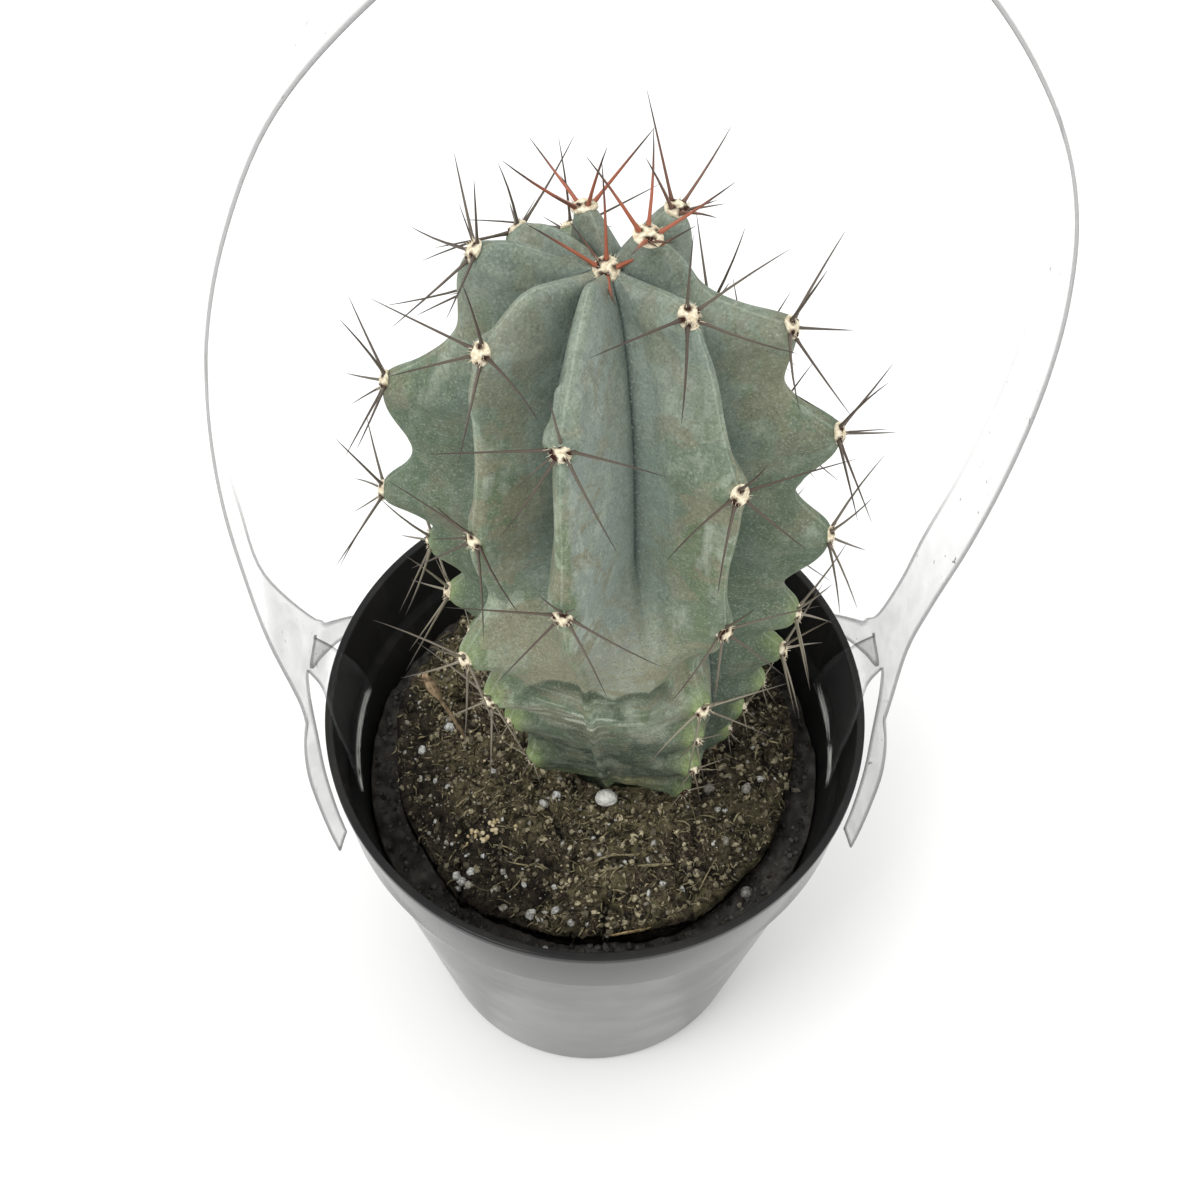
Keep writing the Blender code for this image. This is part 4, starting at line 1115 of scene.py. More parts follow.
    def build_fibres(self) -> None:
        """Moss and peat fibres lying on the crust, and a few long ones.

        Formula: a fibre is a parabola of the distance along it, sideways and upwards,
        pressed down at both ends, with a thin three-sided section.
        """
        places = self.scatter(self.fibres, Seed.FIBRE_PLACES, 38.6)
        draws = np.random.default_rng(Seed.FIBRES)
        places = places[draws.random(len(places)) < self.mossy(places[:, 0], places[:, 1], places) + 0.25]
        count = len(places)
        heading = draws.uniform(0, 360, count)
        length = draws.uniform(0.7, 2.4, count) * np.where(draws.random(count) < 0.06, 2.0, 1.0)
        t = np.linspace(-0.5, 0.5, 6)
        run = outward(heading)[:, None] * (length[:, None] * t)[..., None]
        bow = t ** 2 * length[:, None] * draws.uniform(-1.0, 1.0, (count, 1))
        paths = places[:, None] + run + sideways(heading)[:, None] * bow[..., None]
        lift = draws.uniform(0.0, 1.2, (count, 1)) * length[:, None] * (0.25 - t ** 2) + 0.15
        tilt = draws.uniform(-0.5, 0.5, (count, 1)) * length[:, None] * t
        paths[..., 2] = self.crust(places[:, 0], places[:, 1])[:, None] + 0.2 + lift + tilt
        paths = paths[self.clear_of_stem(paths, 0.5).all(axis=1)]
        count = len(paths)
        radii = draws.uniform(0.07, 0.2, (count, 1)) * np.array([[0.4, 1.0, 1.2, 1.1, 0.8, 0.3]])
        tone = np.repeat(draws.random((count, 1)) ** 2.4, 6, axis=1)
        parts = [tubes(paths, radii, 3, {"tone": tone})]
        t = np.linspace(0.0, 1.0, 24)[:, None]
        for start, end, radius in LONG_FIBRES:
            line = np.array(start) * (1 - t) + np.array(end) * t
            line = line + np.array([0.0, 0.5]) * np.sin(3.0 * t)
            height = self.plain(line[:, 0], line[:, 1]) + 0.9 + 0.25 * np.sin(7.0 * t[:, 0])
            path = np.concatenate([line, height[:, None]], 1)[None]
            thick = radius * (1.0 + 0.25 * np.sin(11.0 * t.T))
            parts.append(tubes(path, thick, 6, {"tone": np.full((1, 24), 0.62)}))
        finish = CrumbFinish("moss_fibres", paint(52, 47, 33), paint(188, 176, 138), 0.3).material()
        Surface.joined(parts).dressed("crust_fibres", finish, "root_ball", "mossy_soil")

    def build_perlite(self) -> None:
        """White perlite grains and lumps, and a cluster of cream granules at the front left."""
        draws = np.random.default_rng(Seed.PERLITE)
        small = self.scatter(self.perlite, Seed.PERLITE_PLACES)
        count = len(small)
        sizes = (0.25 + 0.85 * draws.random((count, 1)) ** 3.0) * draws.uniform(0.5, 1.0, (count, 3))
        small[:, 2] += 0.2
        large, size = np.array(LUMPS), np.array(LUMPS)[:, 2:]
        large[:, 2] = self.crust(large[:, 0], large[:, 1]) + 0.45 * large[:, 2]
        spread = size * draws.uniform(0.7, 1.15, (len(large), 3))
        outer = np.array(OUTER_LUMPS)
        ring = outward(outer[:, 0]) * outer[:, 1:2]
        ring[:, 2] = MIX_TOP + 0.9
        parts = [grains(small, sizes, Seed.GRAIN_SHAPES, detail=1, rough=0.5, fall=1.3),
                 grains(large, spread, Seed.LUMP_SHAPES, detail=2, rough=0.45, fall=0.6),
                 grains(ring, outer[:, 2:], Seed.OUTER_LUMP_SHAPES, detail=2, rough=0.4, fall=2.0)]
        white = CrumbFinish("perlite_grains", paint(140, 132, 112), paint(222, 224, 220), 0.35).material()
        Surface.joined(parts).dressed("perlite_grains", white, "root_ball", "perlite")
        count = self.granules
        heap = draws.normal(0.0, 1.0, (count, 2)) * self.heap_spread + self.heap
        granules = np.stack([heap[:, 0], heap[:, 1], self.crust(heap[:, 0], heap[:, 1]) + 0.35], 1)
        size = draws.uniform(0.3, 0.5, (count, 1)) * np.ones((1, 3))
        cream = CrumbFinish("cream_granules", paint(196, 176, 132), paint(226, 212, 176), 0.08).material()
        beads = grains(granules, size, Seed.GRANULE_SHAPES, detail=2, rough=0.1)
        beads.dressed("cream_granules", cream, "root_ball", "mossy_soil")

    def build_bark(self) -> None:
        """A thin strip of tan bark along the front edge of the crust."""
        t = np.linspace(0.0, 1.0, 40)
        height = 83.2 + 1.1 * t + 0.25 * np.sin(9 * t)
        center = np.stack([3.4 + 13.2 * t, -38.3 + 3.4 * t ** 1.4, height], 1)
        wide = (0.55 + 0.25 * np.sin(7 * t)) * np.sqrt(np.sin(np.pi * np.clip(t, 0.03, 0.97)))
        turn = turns(10)
        ring = np.stack([0.0 * turn, -0.35 * np.cos(turn), np.sin(turn)], -1)
        grid = center[:, None] + ring[None] * wide[:, None, None]
        grid = grid + 0.12 * self.relief.at(grid, 1.0)[..., None]
        finish = DryFinish("tan_bark", paint(120, 98, 66), paint(196, 174, 128)).material()
        capped(grid).dressed("bark_strip", finish, "root_ball", "dry_stem")

    def build(self) -> None:
        """Makes every piece of the soil."""
        self.build_ball()
        self.build_mix()
        self.build_crumbs()
        self.build_fibres()
        self.build_perlite()
        self.build_bark()


# Stem

class Dome(Enum):
    """How a rib falls away from the crown: the power on its sine and cosine."""

    ROUND = 0.81
    SLOPING = 1.35


@dataclass
class Rib:
    """One rib of the stem.

    Attributes:
        foot: azimuth of the crest at the soil.
        crown: azimuth of the crest at the crown.
        dome: how it falls from the crown.
        upper: its upper teeth from the crown down, as (height, stand-off, depth of the notch above).
        fades: whether it melts into a broad face below.
        slab: whether its left flank has a flat strip beside the groove.
        dusk: how much darker its skin is, from 0 to 1, partly its own darker tint and partly painted shade
            where it lies recessed.
        courses: the course of every tooth, from the soil up.
        offsets: the stand-off of every tooth.
        notches: the depth of the notch above every tooth.
        dimple_from: the course at which it starts to sink into the crown.
    """

    foot: float
    crown: float
    dome: Dome
    upper: list[Triple]
    fades: bool = False
    slab: bool = False
    dusk: float = 0.0
    courses: Array = field(init=False)
    offsets: Array = field(init=False)
    notches: Array = field(init=False)
    dimple_from: float = field(init=False)

    def azimuth(self, course: Array) -> Array:
        """Azimuth of the crest: even turn from foot to crown over the first 1.8 of the course."""
        return self.foot + (self.crown - self.foot) * np.clip(np.asarray(course, float) / 1.8, 0.0, 1.0)

    def standing(self, course: Array) -> Array:
        """How far the line through the teeth stands off the common profile."""
        return np.interp(course, self.courses, self.offsets)

    def near_tooth(self, course: Array) -> Array:
        """Distance along the course to the nearest tooth."""
        return np.abs(np.asarray(course, float)[:, None] - self.courses[None]).min(axis=1)

    def notch(self, course: Array, skew: float = 1.5) -> Array:
        """How far the crest dips below the line through its teeth.

        Formula: between two teeth, the notch's depth times the sine of pi times the
        share of the way down to the power skew, and the sine to a power that falls from
        1.8 at the foot to 1 on the dome.
        """
        course = np.asarray(course, float)
        dip = np.zeros_like(course)
        for start, end, depth in zip(self.courses[:-1], self.courses[1:], self.notches[:-1]):
            phase = np.clip((end - course) / (end - start), 0.0, 1.0)
            softness = 1.8 - 0.8 * float(smooth_step(end, 1.1, 1.4))
            wave = np.sin(math.pi * phase ** skew) ** softness
            dip = dip + depth * np.where((course > start) & (course < end), wave, 0.0)
        return dip


@dataclass(frozen=True)
class Needle:
    """One spine as its areole plans it: bearing and rise in degrees, length, radius and youth."""

    bearing: float
    rise: float
    length: float
    radius: float
    youth: float


@dataclass(frozen=True)
class Areole:
    """One areole: its place, its directions, and how high and how far from the axis it sits."""

    place: Array
    out: Array
    up: Array
    side: Array
    height: float
    young: bool
    youth: float


@dataclass
class Stem:
    """The ribbed stem with its areoles and spines.

    The course along a rib runs from 0 at the soil over 1 at the shoulder to 2 at the apex.
    """

    lean: tuple[float, float] = (-0.041, -0.014)
    shoulder: float = 93.0
    dome: float = 43.0
    dimple: float = 6.5
    dimple_from: float = 1.74
    front_dimple_from: float = 1.84
    foot_radius: float = 17.5
    shoulder_radius: float = 32.1
    neck_height: float = 9.0
    groove_foot: float = 0.16
    groove_top: float = 0.48
    groove_follows: float = 0.65
    crest_half: float = 0.95
    crest_cap: float = 0.9
    tooth_half: float = 1.2
    bulge: float = 0.25
    fade_from: float = 86.0
    fade_to: float = 62.0
    face_share: float = 0.86
    lowest_tooth: float = 7.0
    foot_pitch: float = 7.0
    pitch_growth: float = 0.13
    notch_share: float = 0.22
    rows: int = 310
    columns: int = 36
    tooth_reach: float = 4.0
    young_within: float = 11.0
    old_below: float = 40.0
    slender: float = 0.56
    wander: float = 9.0
    soil_clearance: float = 3.0
    least_climb: float = 0.15
    aged_spread: float = 0.45
    grown_spread: float = 0.8
    aged_pad: float = 0.95
    grown_pad: float = 1.55
    hairs: int = 26
    seed: int = Seed.SPINE_WANDER
    relief: Relief = Relief(Seed.SKIN_RELIEF)
    grown_set: tuple[Triple, ...] = (
        (90, 38, 12.5), (4, 18, 14.5), (176, 18, 14.5), (-52, 22, 12.5), (-128, 22, 12.5))
    young_set: tuple[Triple, ...] = (
        (100, 50, 14.0), (20, 45, 13.5), (170, 42, 12.5), (-60, 45, 11.5))
    aged_set: tuple[Triple, ...] = ((10, 25, 6.5), (170, 25, 6.5), (-90, 20, 5.5))
    # painted shadows under the folds of the front, each as azimuth of its middle, top height, half width
    # and sag
    fold_shadows: tuple[tuple[float, float, float, float], ...] = (
        (-21.0, 61.5, 22.0, 14.0), (4.0, 60.5, 17.0, 12.0))
    ribs: list[Rib] = field(default_factory=lambda: [
        Rib(32, 39, Dome.ROUND, [(133.1, 1.4, 0), (111.3, -1.9, 2.6), (76.4, -3.1, 1.8), (47.0, -3.2, 4.8),
                                 (34.6, -1.8, 2.2), (22.9, 0.5, 1.8), (9.7, 1.3, 1.6)], slab=True),
        Rib(73, 78, Dome.ROUND, [(135.8, 0, 0), (124.6, -0.6, 6.3), (105.2, 1.0, 6.2), (80.8, 1.6, 6.0),
                                 (57.5, 0.4, 3.9), (45.0, 0.9, 4.2), (32.7, 0.4, 2.2)], dusk=0.9),
        Rib(119, 116, Dome.ROUND, [(135.1, 0.3, 0), (117.0, -13.5, 5.4), (99.0, -9.5, 3.0),
                                   (81.0, -4.5, 3.0), (64.0, -2.0, 3.0)], dusk=0.5),
        Rib(166, 204, Dome.SLOPING, [(132.2, 0, 0), (110.0, 0, 4.0)]),
        Rib(207, 228, Dome.SLOPING, [(122.4, 0, 0), (101.0, 0, 4.0)]),
        Rib(271, 273, Dome.ROUND, [(132.1, 0, 0), (106.3, 0.4, 7.5), (79.8, 3.9, 4.6),
                                   (65.7, -0.8, 3.0)], dusk=0.8),
        Rib(313, 314, Dome.ROUND, [(128.7, 0.2, 0), (92.3, -5.2, 3.0), (63.8, 1.5, 5.0), (46.7, 0.6, 4.4),
                                   (35.1, -0.5, 3.0), (16.0, 0.5, 2.8)]),
        Rib(-10, -13, Dome.ROUND, [(135.995, -0.1, 0), (122.9, 0, 0.8), (93.1, 0, 1.6)], fades=True),
    ])

    def __post_init__(self) -> None:
        """Fills in the regular teeth of each rib, closer together and shallower towards the foot."""
        for rib in self.ribs:
            teeth = list(rib.upper)
            height = teeth[-1][0]
            while not rib.fades and height - self.pitch(height) > self.lowest_tooth:
                gap = self.pitch(height)
                height -= gap
                teeth.append((height, 0.0, self.notch_share * gap))
            teeth.sort()
            rib.courses = np.array([self.course_at(tooth[0], rib.dome.value) for tooth in teeth])
            rib.offsets = np.array([tooth[1] for tooth in teeth])
            rib.notches = np.array([tooth[2] for tooth in teeth])
            stands = not rib.fades and (rib.courses[-1] > self.dimple_from or rib.dome is Dome.SLOPING)
            usual = self.front_dimple_from if rib.fades else self.dimple_from
            rib.dimple_from = min(rib.courses[-1] + 0.02, 1.96) if stands else usual

    def pitch(self, height: float) -> float:
        """Distance from a regular tooth to the next one below it, larger further up."""
        return self.foot_pitch + self.pitch_growth * height

    def course_at(self, height: float, power: float) -> float:
        """The course at which the crest has a height above the soil."""
        if height <= self.shoulder:
            return height / self.shoulder
        share = ((height - self.shoulder) / self.dome) ** (1.0 / power)
        return 1.0 + math.asin(min(share, 1.0)) / (math.pi / 2)

    def crest(self, course: Array, power: float, dimple_from: float | None = None) -> Array:
        """(radius, height) of the crest.

        Formula: the radius grows by a sine to the power 0.9 up to the shoulder, then
        shrinks with a cosine to the given power while the height grows with the sine to
        the same power, and the crown sinks in from dimple_from on.
        """
        sinks_from = self.dimple_from if dimple_from is None else dimple_from
        low = np.clip(course, 0.0, 1.0)
        lift = np.clip(course - 1.0, 0.0, 1.0) * math.pi / 2
        widening = self.shoulder_radius - self.foot_radius
        radius = self.foot_radius + widening * np.sin(low * math.pi / 2) ** 0.9
        radius = radius * np.maximum(np.cos(lift), 0.0) ** power
        height = self.shoulder * low + self.dome * np.sin(lift) ** power
        return np.stack([radius, height - self.dimple * smooth_step(course, sinks_from, 2.0)])

    def groove(self, course: Array, power: float) -> Array:
        """(radius, height) of the grooves: the crest's radius less a share that grows upwards."""
        radius, _ = self.crest(course, power)
        low = np.clip(course, 0.0, 1.0)
        lift = np.clip(course - 1.0, 0.0, 1.0) * math.pi / 2
        share = self.groove_foot + (self.groove_top - self.groove_foot) * smooth_step(low, 0.15, 0.9)
        height = self.shoulder * low + (self.dome - self.dimple) * np.sin(lift) ** power
        return np.stack([radius * (1.0 - share), height])

    def squeeze(self, line: Array) -> Array:
        """A (radius, height) line narrowed to the round neck at the soil."""
        share = smooth_step(line[1], 0.0, self.neck_height)
        return np.stack([NECK_RADIUS + (line[0] - NECK_RADIUS) * share, line[1]])

    def axis(self, height: Array | float) -> Array:
        """Points of the leaning axis at heights above the soil."""
        height = np.asarray(height, float)
        return np.stack([STEM_FOOT[0] + self.lean[0] * height, STEM_FOOT[1] + self.lean[1] * height,
                         SOIL_TOP + height], axis=-1)

    def point(self, line: Array, azimuth: Array) -> Array:
        """World points of a (radius, height) line at azimuths."""
        return self.axis(line[1]) + outward(azimuth) * line[0][..., None]

    def lines(self, rib: Rib, course: Array) -> tuple[Array, Array, Array]:
        """A rib's crest and groove as (radius, height), and its notch."""
        radius, height = self.crest(course, rib.dome.value, rib.dimple_from)
        low_radius, low_height = self.groove(course, rib.dome.value)
        stand = smooth_step(height, self.fade_to, self.fade_from) if rib.fades else 1.0
        step = np.hypot(radius - low_radius, height - low_height) + 1e-9
        notch = rib.notch(course) * stand
        push = (rib.standing(course) - notch) / step
        top = np.stack([radius + push * (radius - low_radius), height + push * (height - low_height)])
        if rib.fades:
            face = self.face_share * radius
            top[0] = face + (top[0] - face) * stand
        return self.squeeze(top), self.squeeze(np.stack([low_radius, low_height])), notch

    def groove_points(self, rib: Rib, following: Rib, course: Array) -> Array:
        """The bottom of the groove halfway between two ribs, raised where the front rib fades."""
        gap = (following.azimuth(course) - rib.azimuth(course)) % 360.0
        line = self.groove(course, 0.5 * (rib.dome.value + following.dome.value))
        standing = 0.5 * (rib.standing(course) + following.standing(course))
        line[0] = np.maximum(line[0] + self.groove_follows * np.minimum(standing, 0.0), 0.2 * line[0])
        line = self.squeeze(line)
        if rib.fades or following.fades:
            radius, height = self.squeeze(self.crest(course, Dome.ROUND.value))
            stand = smooth_step(height, self.fade_to, self.fade_from)
            line[0] = (1.0 - stand) * 0.985 * self.face_share * radius + stand * line[0]
            line[0] = np.where(height < self.neck_height, np.minimum(line[0], NECK_RADIUS), line[0])
        return self.point(line, rib.azimuth(course) + gap / 2)

    def section(self, index: int, course: Array) -> Array:
        """The nine guide points across a rib, from groove over the crest to groove."""
        rib, before = self.ribs[index], self.ribs[index - 1]
        after = self.ribs[(index + 1) % len(self.ribs)]
        top, bottom, notch = self.lines(rib, course)
        azimuth = rib.azimuth(course)
        crest = self.point(top, azimuth)
        inward = unit(self.point(bottom, azimuth) - crest)
        side = sideways(azimuth)
        crowd = (smooth_step(top[0], 0.0, 13.0) * smooth_step(top[1], -1.0, 3.0))[:, None]
        half = (self.crest_half + 0.12 * notch + self.tooth_half * self.pad(rib, course))[:, None] * crowd
        cap = self.crest_cap * crowd
        left = self.groove_points(before, rib, course)
        right = self.groove_points(rib, after, course)
        left_edge, right_edge = crest - side * half + inward * cap, crest + side * half + inward * cap
        bulge = side * self.bulge * crowd
        shoulders = [crest + side * half * 0.62 * sign + inward * cap * 0.3 for sign in (-1.0, 1.0)]
        return np.stack([left, 0.5 * (left + left_edge) - bulge, left_edge, shoulders[0], crest,
                         shoulders[1], right_edge, 0.5 * (right + right_edge) + bulge, right], axis=1)

    def pad(self, rib: Rib, course: Array) -> Array:
        """Bell curve of the distance along the course to the nearest tooth, in millimetres."""
        return bell(rib.near_tooth(course) * self.shoulder, self.tooth_reach)

    def samples(self) -> Array:
        """Places across a rib, denser over the crest than on the flanks."""
        flank = np.linspace(0.0, 2.0, self.columns // 2 - 4, endpoint=False)
        cap = np.linspace(2.0, 6.0, 8, endpoint=False)
        other = np.linspace(6.0, 8.0, self.columns - 8 - len(flank), endpoint=False)
        return np.concatenate([flank, cap, other])

    def skin(self) -> Surface:
        """The stem's skin from its buried plug to the apex.

        Formula: smooth curves across each rib through its guide points, on rows along the
        course, then moved along their normals by soft noise, pads under the teeth, the
        flat strip's edge and wrinkles near the soil.
        """
        below = int(self.rows * 0.6)
        course = np.concatenate([np.linspace(0.0, 1.0, below, endpoint=False),
                                 np.linspace(1.0, 1.985, self.rows - below)])
        across = self.samples()
        shape = (len(course), len(across))
        rise = 1.0 - np.abs(across - 4.0) / 4.0
        left, right = across < 4.0, across > 4.0
        grid, ribs = [], []
        for index, rib in enumerate(self.ribs):
            following = self.ribs[(index + 1) % len(self.ribs)]
            grid.append(through(self.section(index, course), across))
            _, height = self.crest(course, rib.dome.value)
            shallow = 1.0 - smooth_step(height, self.fade_to, self.fade_from)
            near_front = np.where(left, self.ribs[index - 1].fades, following.fades)
            face = np.where(rib.fades, 1.0, near_front * (1.0 - smooth_step(rise, 0.25, 0.5)))
            face = face * shallow[:, None]
            beyond = course - rib.courses[-2]
            thumb = smooth_step(beyond, -0.04, 0.04) * (1.0 - smooth_step(beyond, 0.13, 0.155)) * rib.fades
            strip = smooth_step(rise, 0.15, 0.2) * left * rib.slab
            slate = smooth_step(-rise, -0.56, -0.46) * smooth_step(rise, 0.02, 0.06) * right * rib.fades
            # side ribs darker, partly their own tint and partly painted shade, less so towards the crown
            dusk = rib.dusk * (1.0 - 0.75 * smooth_step(height, 92.0, 118.0))
            ribs.append({
                "rise": np.broadcast_to(rise, shape), "dusk": np.broadcast_to(dusk[:, None], shape),
                "thumb": thumb[:, None] * smooth_step(rise, 0.38, 0.5), "face": face,
                "tooth": self.pad(rib, course)[:, None] * smooth_step(rise, 0.3, 0.8),
                # painted shade along the bottom of each groove
                "crease": (1.0 - smooth_step(rise, 0.0, 0.045)) * (1.0 - face) ** 3,
                "slate": slate * smooth_step(height, 57.0, 64.0)[:, None],
                "slab": (1.0 - strip) * (rib.slab & left) * smooth_step(height, 60.0, 68.0)[:, None]})
        grid = np.concatenate(grid, axis=1)
        values = {name: np.concatenate([rib[name] for rib in ribs], axis=1) for name in ribs[0]}
        grid = grid + self.normals(grid) * self.swell(grid, values)[..., None]
        values.update(self.marks(grid, values))
        plug = []
        for share, radius in ((1.0, PLUG_FOOT_RADIUS), (0.35, NECK_RADIUS - FIT_GAP)):
            ring = unit(grid[0] - self.axis(0.0)) * radius
            plug.append(self.axis(0.0) + ring - np.array([0.0, 0.0, PLUG_DEPTH * share]))
        values = {name: np.concatenate([value[:1], value[:1], value]) for name, value in values.items()}
        return capped(np.concatenate([np.stack(plug), grid]), values)

    def normals(self, grid: Array) -> Array:
        """Outward normals of a ring grid: the cross product of its two directions."""
        across = np.roll(grid, -1, axis=1) - np.roll(grid, 1, axis=1)
        up = np.gradient(grid, axis=0)
        return unit(np.cross(across, up))

    def swell(self, grid: Array, values: dict[str, Array]) -> Array:
        """How far the skin stands off its plain shape, in millimetres.

        Formula: layered noise, plus pads round the teeth, less the flat strip's depth, plus
        the front rib's thumb-like shoulder and noise stretched sideways near the soil, all
        held back at the neck and the apex.
        """
        height = grid[..., 2] - SOIL_TOP
        wide = self.relief.layered(grid, 8.0, 2)
        wrinkle = self.relief.layered(grid * [0.45, 0.45, 1.6], 4.0, 3, 0.6)
        low = 1.0 - smooth_step(height, 14.0, 46.0)
        lift = 0.22 * wide + 0.3 * values["tooth"] + 0.42 * wrinkle * low \
            - 0.45 * values["slab"] + 0.9 * values["thumb"]
        return lift * smooth_step(height, 0.5, 5.0) * (1.0 - smooth_step(height, 127.0, 132.0))

    def marks(self, grid: Array, values: dict[str, Array]) -> dict[str, Array]:
        """Numbers that steer the skin's colour, each from 0 to 1."""
        rise, face = values["rise"], values["face"]
        height = grid[..., 2] - SOIL_TOP
        azimuth = np.degrees(np.arctan2(grid[..., 0] - STEM_FOOT[0], -(grid[..., 1] - STEM_FOOT[1])))
        noise = self.relief.layered(grid + 30.0, 9.0, 3)
        fine = self.relief.layered(grid + 60.0, 3.0, 2)
        front = smooth_step(50.0 - np.abs(azimuth + 4.0), 0.0, 12.0)
        # painted shadow: dark arched bands just under the folds of the front
        arch = np.zeros_like(height)
        for center, top, wide, sag in self.fold_shadows:
            curve = top - sag * ((azimuth - center) / wide) ** 2
            inside = smooth_step(wide - np.abs(azimuth - center) + 3.0 * noise, 0.0, 7.0)
            below = height - curve + 1.2 * noise + 0.5 * fine
            inside = inside * smooth_step(-below, -0.6, 0.4) * smooth_step(below, -8.5, -1.5)
            arch = np.maximum(arch, inside)
        wrinkle = self.relief.layered(grid * [0.35, 0.35, 2.4], 3.0, 3, 0.65)
        ring = smooth_step(wrinkle, 0.15, 0.5) * bell(azimuth + 17.0, 20.0) * bell(height - 47.0, 7.0)
        tan = bell(azimuth - 4.0 + 6.0 * noise, 9.0) * bell(height - 12.0, 2.6)
        oval = bell(azimuth - 12.0, 9.0) * bell(height - 40.5 + 1.5 * noise, 4.0)
        flush = values["tooth"] * (1.0 - smooth_step(height, 52.0, 84.0)) * 0.9
        flush = np.maximum(flush, front * bell(height - 6.0 + 2.0 * noise, 6.0) * 0.35)
        worn = face * bell(height - 70.0 + 4.0 * noise, 12.0)
        return {
            "sheltered": (1.0 - smooth_step(rise + 0.09 * noise, 0.06, 0.36)) * (1.0 - face),
            "low": 1.0 - smooth_step(height + 6.0 * noise + 3.0 * fine, 30.0, 56.0),
            "arch": np.clip(arch, 0.0, 1.0), "ring": np.maximum(ring, oval * 0.55), "flush": flush,
            "worn": worn, "scar": tan * 0.9, "high": smooth_step(height, 106.0, 132.0)}

    def areoles(self) -> list[Areole]:
        """Every areole, rib by rib from the soil up."""
        made = []
        for rib in self.ribs:
            for course in rib.courses:
                run = np.array([course - 0.02, course, course + 0.02])
                top, bottom, _ = self.lines(rib, run)
                points, inner = self.point(top, rib.azimuth(run)), self.point(bottom, rib.azimuth(run))
                upward = 0.25 + 4.0 * float(smooth_step(course, 1.7, 1.96))
                out = unit(points[1] - inner[1]) + 0.4 * outward(rib.azimuth(course)) + [0.0, 0.0, upward]
                out = unit(out)
                up = unit(np.cross(out, np.cross(points[2] - points[0], out)))
                made.append(Areole(points[1], out, up, np.cross(up, out), float(top[1][1]),
                                   course > 1.0 and top[0][1] < self.young_within,
                                   float(1.0 - smooth_step(top[0][1], 7.5, 11.0)) * (course > 1.0)))
        return made

    def needles(self, areole: Areole, draws: random.Random, more: random.Random) -> list[Needle]:
        """The spines of one areole: its regular set with seeded wander, and a few more.

        Args:
            areole: where they grow.
            draws: wander of the regular set.
            more: wander of the others.

        Returns:
            The spines, the regular ones first.
        """
        aged = areole.height < self.old_below
        regular = self.young_set if areole.young else self.aged_set if aged else self.grown_set
        thick = 0.28 if aged else 0.42 + 0.1 * areole.youth
        plan = []
        for bearing, rise, length in regular:
            bearing += draws.uniform(-self.wander, self.wander)
            rise += draws.uniform(-self.wander, self.wander) * 0.6
            plan.append(Needle(bearing, rise, length * draws.uniform(0.88, 1.08), thick, areole.youth))
        for _ in range(2 if areole.young else more.choice((0, 1))):
            plan.append(Needle(more.uniform(0, 360), more.uniform(25, 55), more.uniform(4.0, 8.0),
                               thick * 0.75, 0.25 * areole.youth))
        return plan

    def spine_plan(self) -> tuple[Array, ...]:
        """Where every spine stands and points.

        Formula: a direction is the bearing's unit vector tilted up by the rise, lifted to
        nearly level where the tip would come close to the soil.

        Returns:
            Arrays of roots, unit directions, lengths, radii, youth, areole numbers and heights.
        """
        draws, more = random.Random(self.seed), random.Random(self.seed + 1)
        rows = []
        for number, areole in enumerate(self.areoles()):
            for needle in self.needles(areole, draws, more):
                bearing, rise = math.radians(needle.bearing), math.radians(needle.rise)
                around = math.cos(bearing) * areole.side + math.sin(bearing) * areole.up
                along = math.cos(rise) * around + math.sin(rise) * areole.out
                if (areole.place + along * needle.length)[2] < SOIL_TOP + self.soil_clearance:
                    along[2] = self.least_climb
                spread = self.aged_spread if areole.height < self.old_below else self.grown_spread
                rows.append((*(areole.place - areole.out * 0.1 + around * spread), *unit(along),
                             needle.length, needle.radius, needle.youth, number, areole.height))
        table = np.array(rows)
        return (table[:, :3], table[:, 3:6], table[:, 6], table[:, 7], table[:, 8],
                table[:, 9].astype(int), table[:, 10])

    def build_spines(self) -> None:
        """Makes the spines.

        Formula: a straight needle with a slight bow, thick over a swollen foot and then
        tapering evenly to its point; upper spines are dark, lower ones weathered.
        """
        root, along, length, radius, youth, _, height = self.spine_plan()
        draws = np.random.default_rng(Seed.SPINES)
        t = np.array([0.0, 0.06, 0.14, 0.35, 0.6, 0.82, 0.95, 1.0])
        bow = unit(np.cross(along, draws.normal(size=along.shape)))
        bow = bow * draws.uniform(0, 0.035, (len(root), 1))
        paths = root[:, None] + along[:, None] * ((length + 0.6)[:, None] * t)[..., None] \
            + bow[:, None] * (length[:, None] * t * (1 - t) * 4)[..., None]
        taper = np.array([1.3, 1.35, 0.95, 0.78, 0.58, 0.36, 0.16, 0.02])
        radii = radius[:, None] * taper * self.slender
        count = len(root)
        dark = smooth_step(height, 45.0, 95.0) * 0.75 + draws.uniform(0.0, 0.25, count)
        values = {"along": t, "youth": youth[:, None], "tone": draws.random((count, 1)),
                  "dark": dark[:, None]}
        values = {name: np.broadcast_to(value, radii.shape) for name, value in values.items()}
        spines = tubes(paths, radii, 6, values)
        spines.dressed("spine_needles", SpineFinish().material(), "cactus", "stem_skin")

